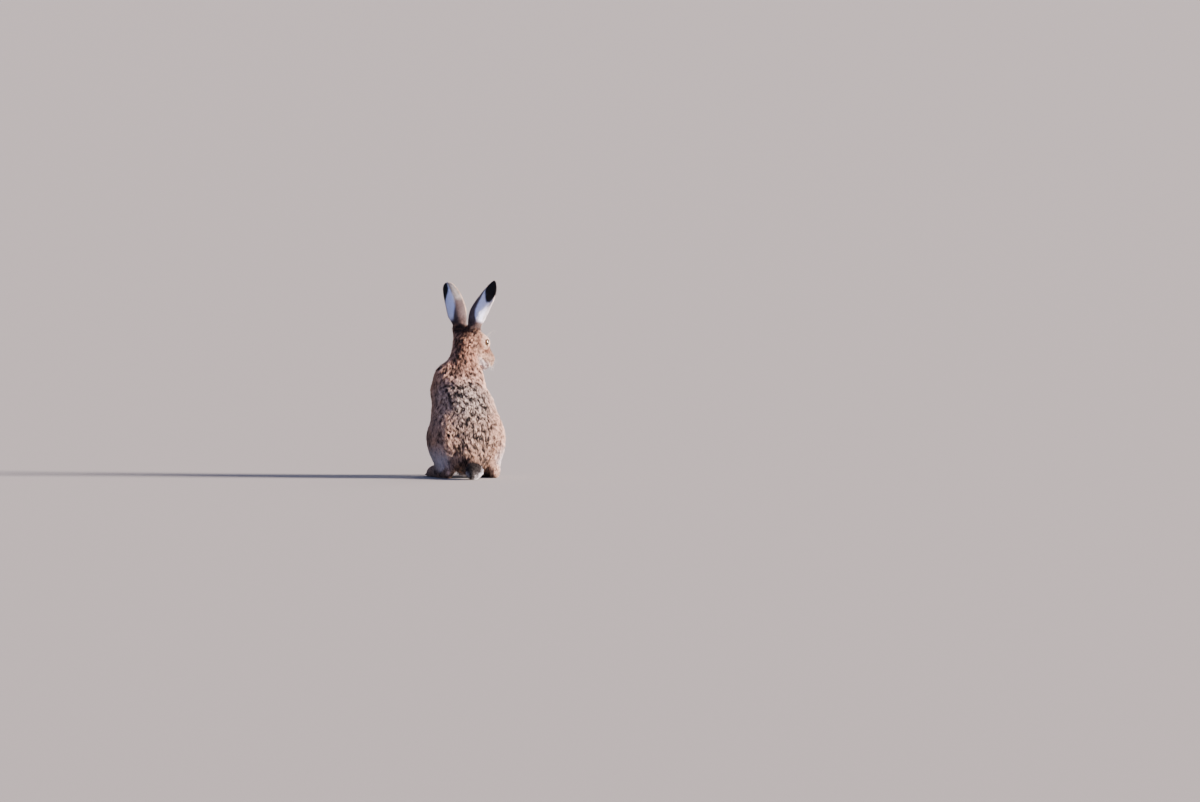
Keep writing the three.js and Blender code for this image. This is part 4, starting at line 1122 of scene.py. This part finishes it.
def short_hair(name, slot, points, faces, along, marks, per_area, length, lift, unwrap, seed):
    """A coat piece on a mesh: every array has a row for each of its points. Along is the way the hairs lie,
    length and lift are in metres, and unwrap holds places on the map."""
    rng = np.random.default_rng(seed)
    corners, portion = sown(points, faces, per_area, rng)
    root, out = taken(points, corners, portion), taken(normals_of(points, faces), corners, portion)
    out /= np.linalg.norm(out, axis=1, keepdims=True)
    n = len(root)
    number = gathered(root, 3.0 * MM, 51)[1]
    lie = clear_of(taken(along, corners, portion), out)
    lie = turned(lie, out, np.radians(16) * (number[:, 0] - 0.5) + np.radians(8) * rng.standard_normal(n))
    long = taken(length[:, None], corners, portion)[:, 0] * (0.8 + 0.4 * rng.random(n))
    high = taken(lift[:, None], corners, portion)[:, 0] * (0.7 + 0.6 * rng.random(n))
    tone = 0.4 * number[:, 2] + 0.6 * rng.random(n)
    bands = pale_and_dark(taken(marks, corners, portion), tone, rng, SHORT_STATIONS)
    bands[:, 0] = bands[:, 1]
    width = (0.3 * MM + 0.035 * long) * (0.8 + 0.4 * rng.random(n))
    curl = long * 0.1 * rng.standard_normal(n)
    sunk = 0.2 * MM
    flat = np.zeros(n)
    made = blades(root - out * sunk, out, lie, long, high + sunk, flat, width, bands, curl, SHORT_STATIONS)
    coat_piece(name, made, taken(unwrap, corners, portion), rng)


# Hair of the ears: short on both faces, longer at the root and along the edges, lying towards the tip
for seed, (hand, (points, faces, facts, marks)) in enumerate(ears.items()):
    v, across, back = facts[:, 0], np.abs(facts[:, 1]), facts[:, 2]
    edge = soft(0.86, 1.0, across) * soft(0.1, 0.3, v)
    base = soft(0.28, 0.04, v)
    per_area = (mixed(0.5, 1.7, back) + 1.2 * edge + 1.4 * base) / MM**2 * (v > 0.005)
    length = (3.6 + 2.0 * edge + 4.5 * base) * MM * soft(1.02, 0.9, v)
    lift = (0.4 + 0.4 * edge + 0.5 * base) * MM
    unwrap = np.column_stack([(facts[:, 1] * 0.5 + 0.5) * 0.46 + 0.5 * (1 - back) + 0.02, 0.02 + 0.96 * v])
    grown = (points, faces, facts[:, 3:6], marks, per_area, length, lift, unwrap, 300 + seed)
    short_hair("ear_hair_" + hand, "ear_fur", *grown)

# Hair of the eyelids: very short, lying away from the eye
for seed, (hand, (points, quads, beyond, outwards)) in enumerate(lids.items()):
    faces = np.concatenate([quads[:, :3], quads[:, [0, 2, 3]]])
    along = outwards + 0.45 * (HEAD_AXES @ [0.0, 1.0, 0.1])
    marks = covered(np.tile(coat_rows["cream"], (len(points), 1)), [("black", soft(7.5, 4.5, beyond))])
    per_area = 4.0 * soft(2.0, 5.0, beyond) * soft(35, 33, beyond) / MM**2
    length, lift = (1.2 + 0.06 * beyond) * MM, np.full(len(points), 0.35) * MM
    unwrap = np.column_stack([0.5 + 0.01 * outwards[:, 0], 0.5 + 0.01 * beyond / 40])
    grown = (points, faces, along, marks, per_area, length, lift, unwrap, 400 + seed)
    short_hair("lid_hair_" + hand, "coat", *grown)

# Whiskers
# Long stiff pale hairs, in four rows on each upper lip and three over each eye. Each is a thin tapering cone
# with its root in the skin, and bends down a little under its weight.

WHISKER_ROWS = (-15.0, -18.5, -22.0, -25.5)  # heights in the head's frame, mm
WHISKER_PLACES = (-70.0, -65.5, -61.0, -56.5)  # along the head, mm; the last one only in the middle rows
WHISKER_RADIUS = 0.22  # mm

rng = np.random.default_rng(7)
starts, ahead, lengths = [], [], []
for side in (1, -1):
    for row, height in enumerate(WHISKER_ROWS):
        for along in WHISKER_PLACES[: 4 if row in (1, 2) else 3]:
            spread = np.array([side * 0.86, 0.38 + 0.25 * (along + 70) / 14, -0.06 - 0.11 * row])
            starts.append([side * (9.0 + (along + 70) * 0.28), along, height])
            ahead.append(spread + rng.normal(0, 0.07, 3))
            lengths.append(rng.uniform(38, 64) * (0.75 + 0.02 * (along + 70)))
    for k in range(3):
        starts.append([side * 13.0, -29 + 3 * k, 21.0])
        ahead.append([side * 0.5, 0.15, 0.85] + rng.normal(0, 0.08, 3))
        lengths.append(rng.uniform(20, 34))
starts = from_head(np.array(starts))
ahead = np.array(ahead) @ HEAD_AXES.T
ahead /= np.linalg.norm(ahead, axis=1, keepdims=True)
down = clear_of(np.tile([0.0, 0.0, -1.0], (len(ahead), 1)), ahead)
lengths = np.array(lengths) * MM
radii, bends = np.full(len(starts), WHISKER_RADIUS * MM), rng.uniform(0.05, 0.22, len(starts))
points, faces = bent_cones(starts, ahead, down, lengths, radii, bends, 8, 5)
whiskers = mesh_piece("whiskers", points, faces, plain_material("whisker", swatch("#d8cfc4"), 0.4)[0])
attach(whiskers, "root")
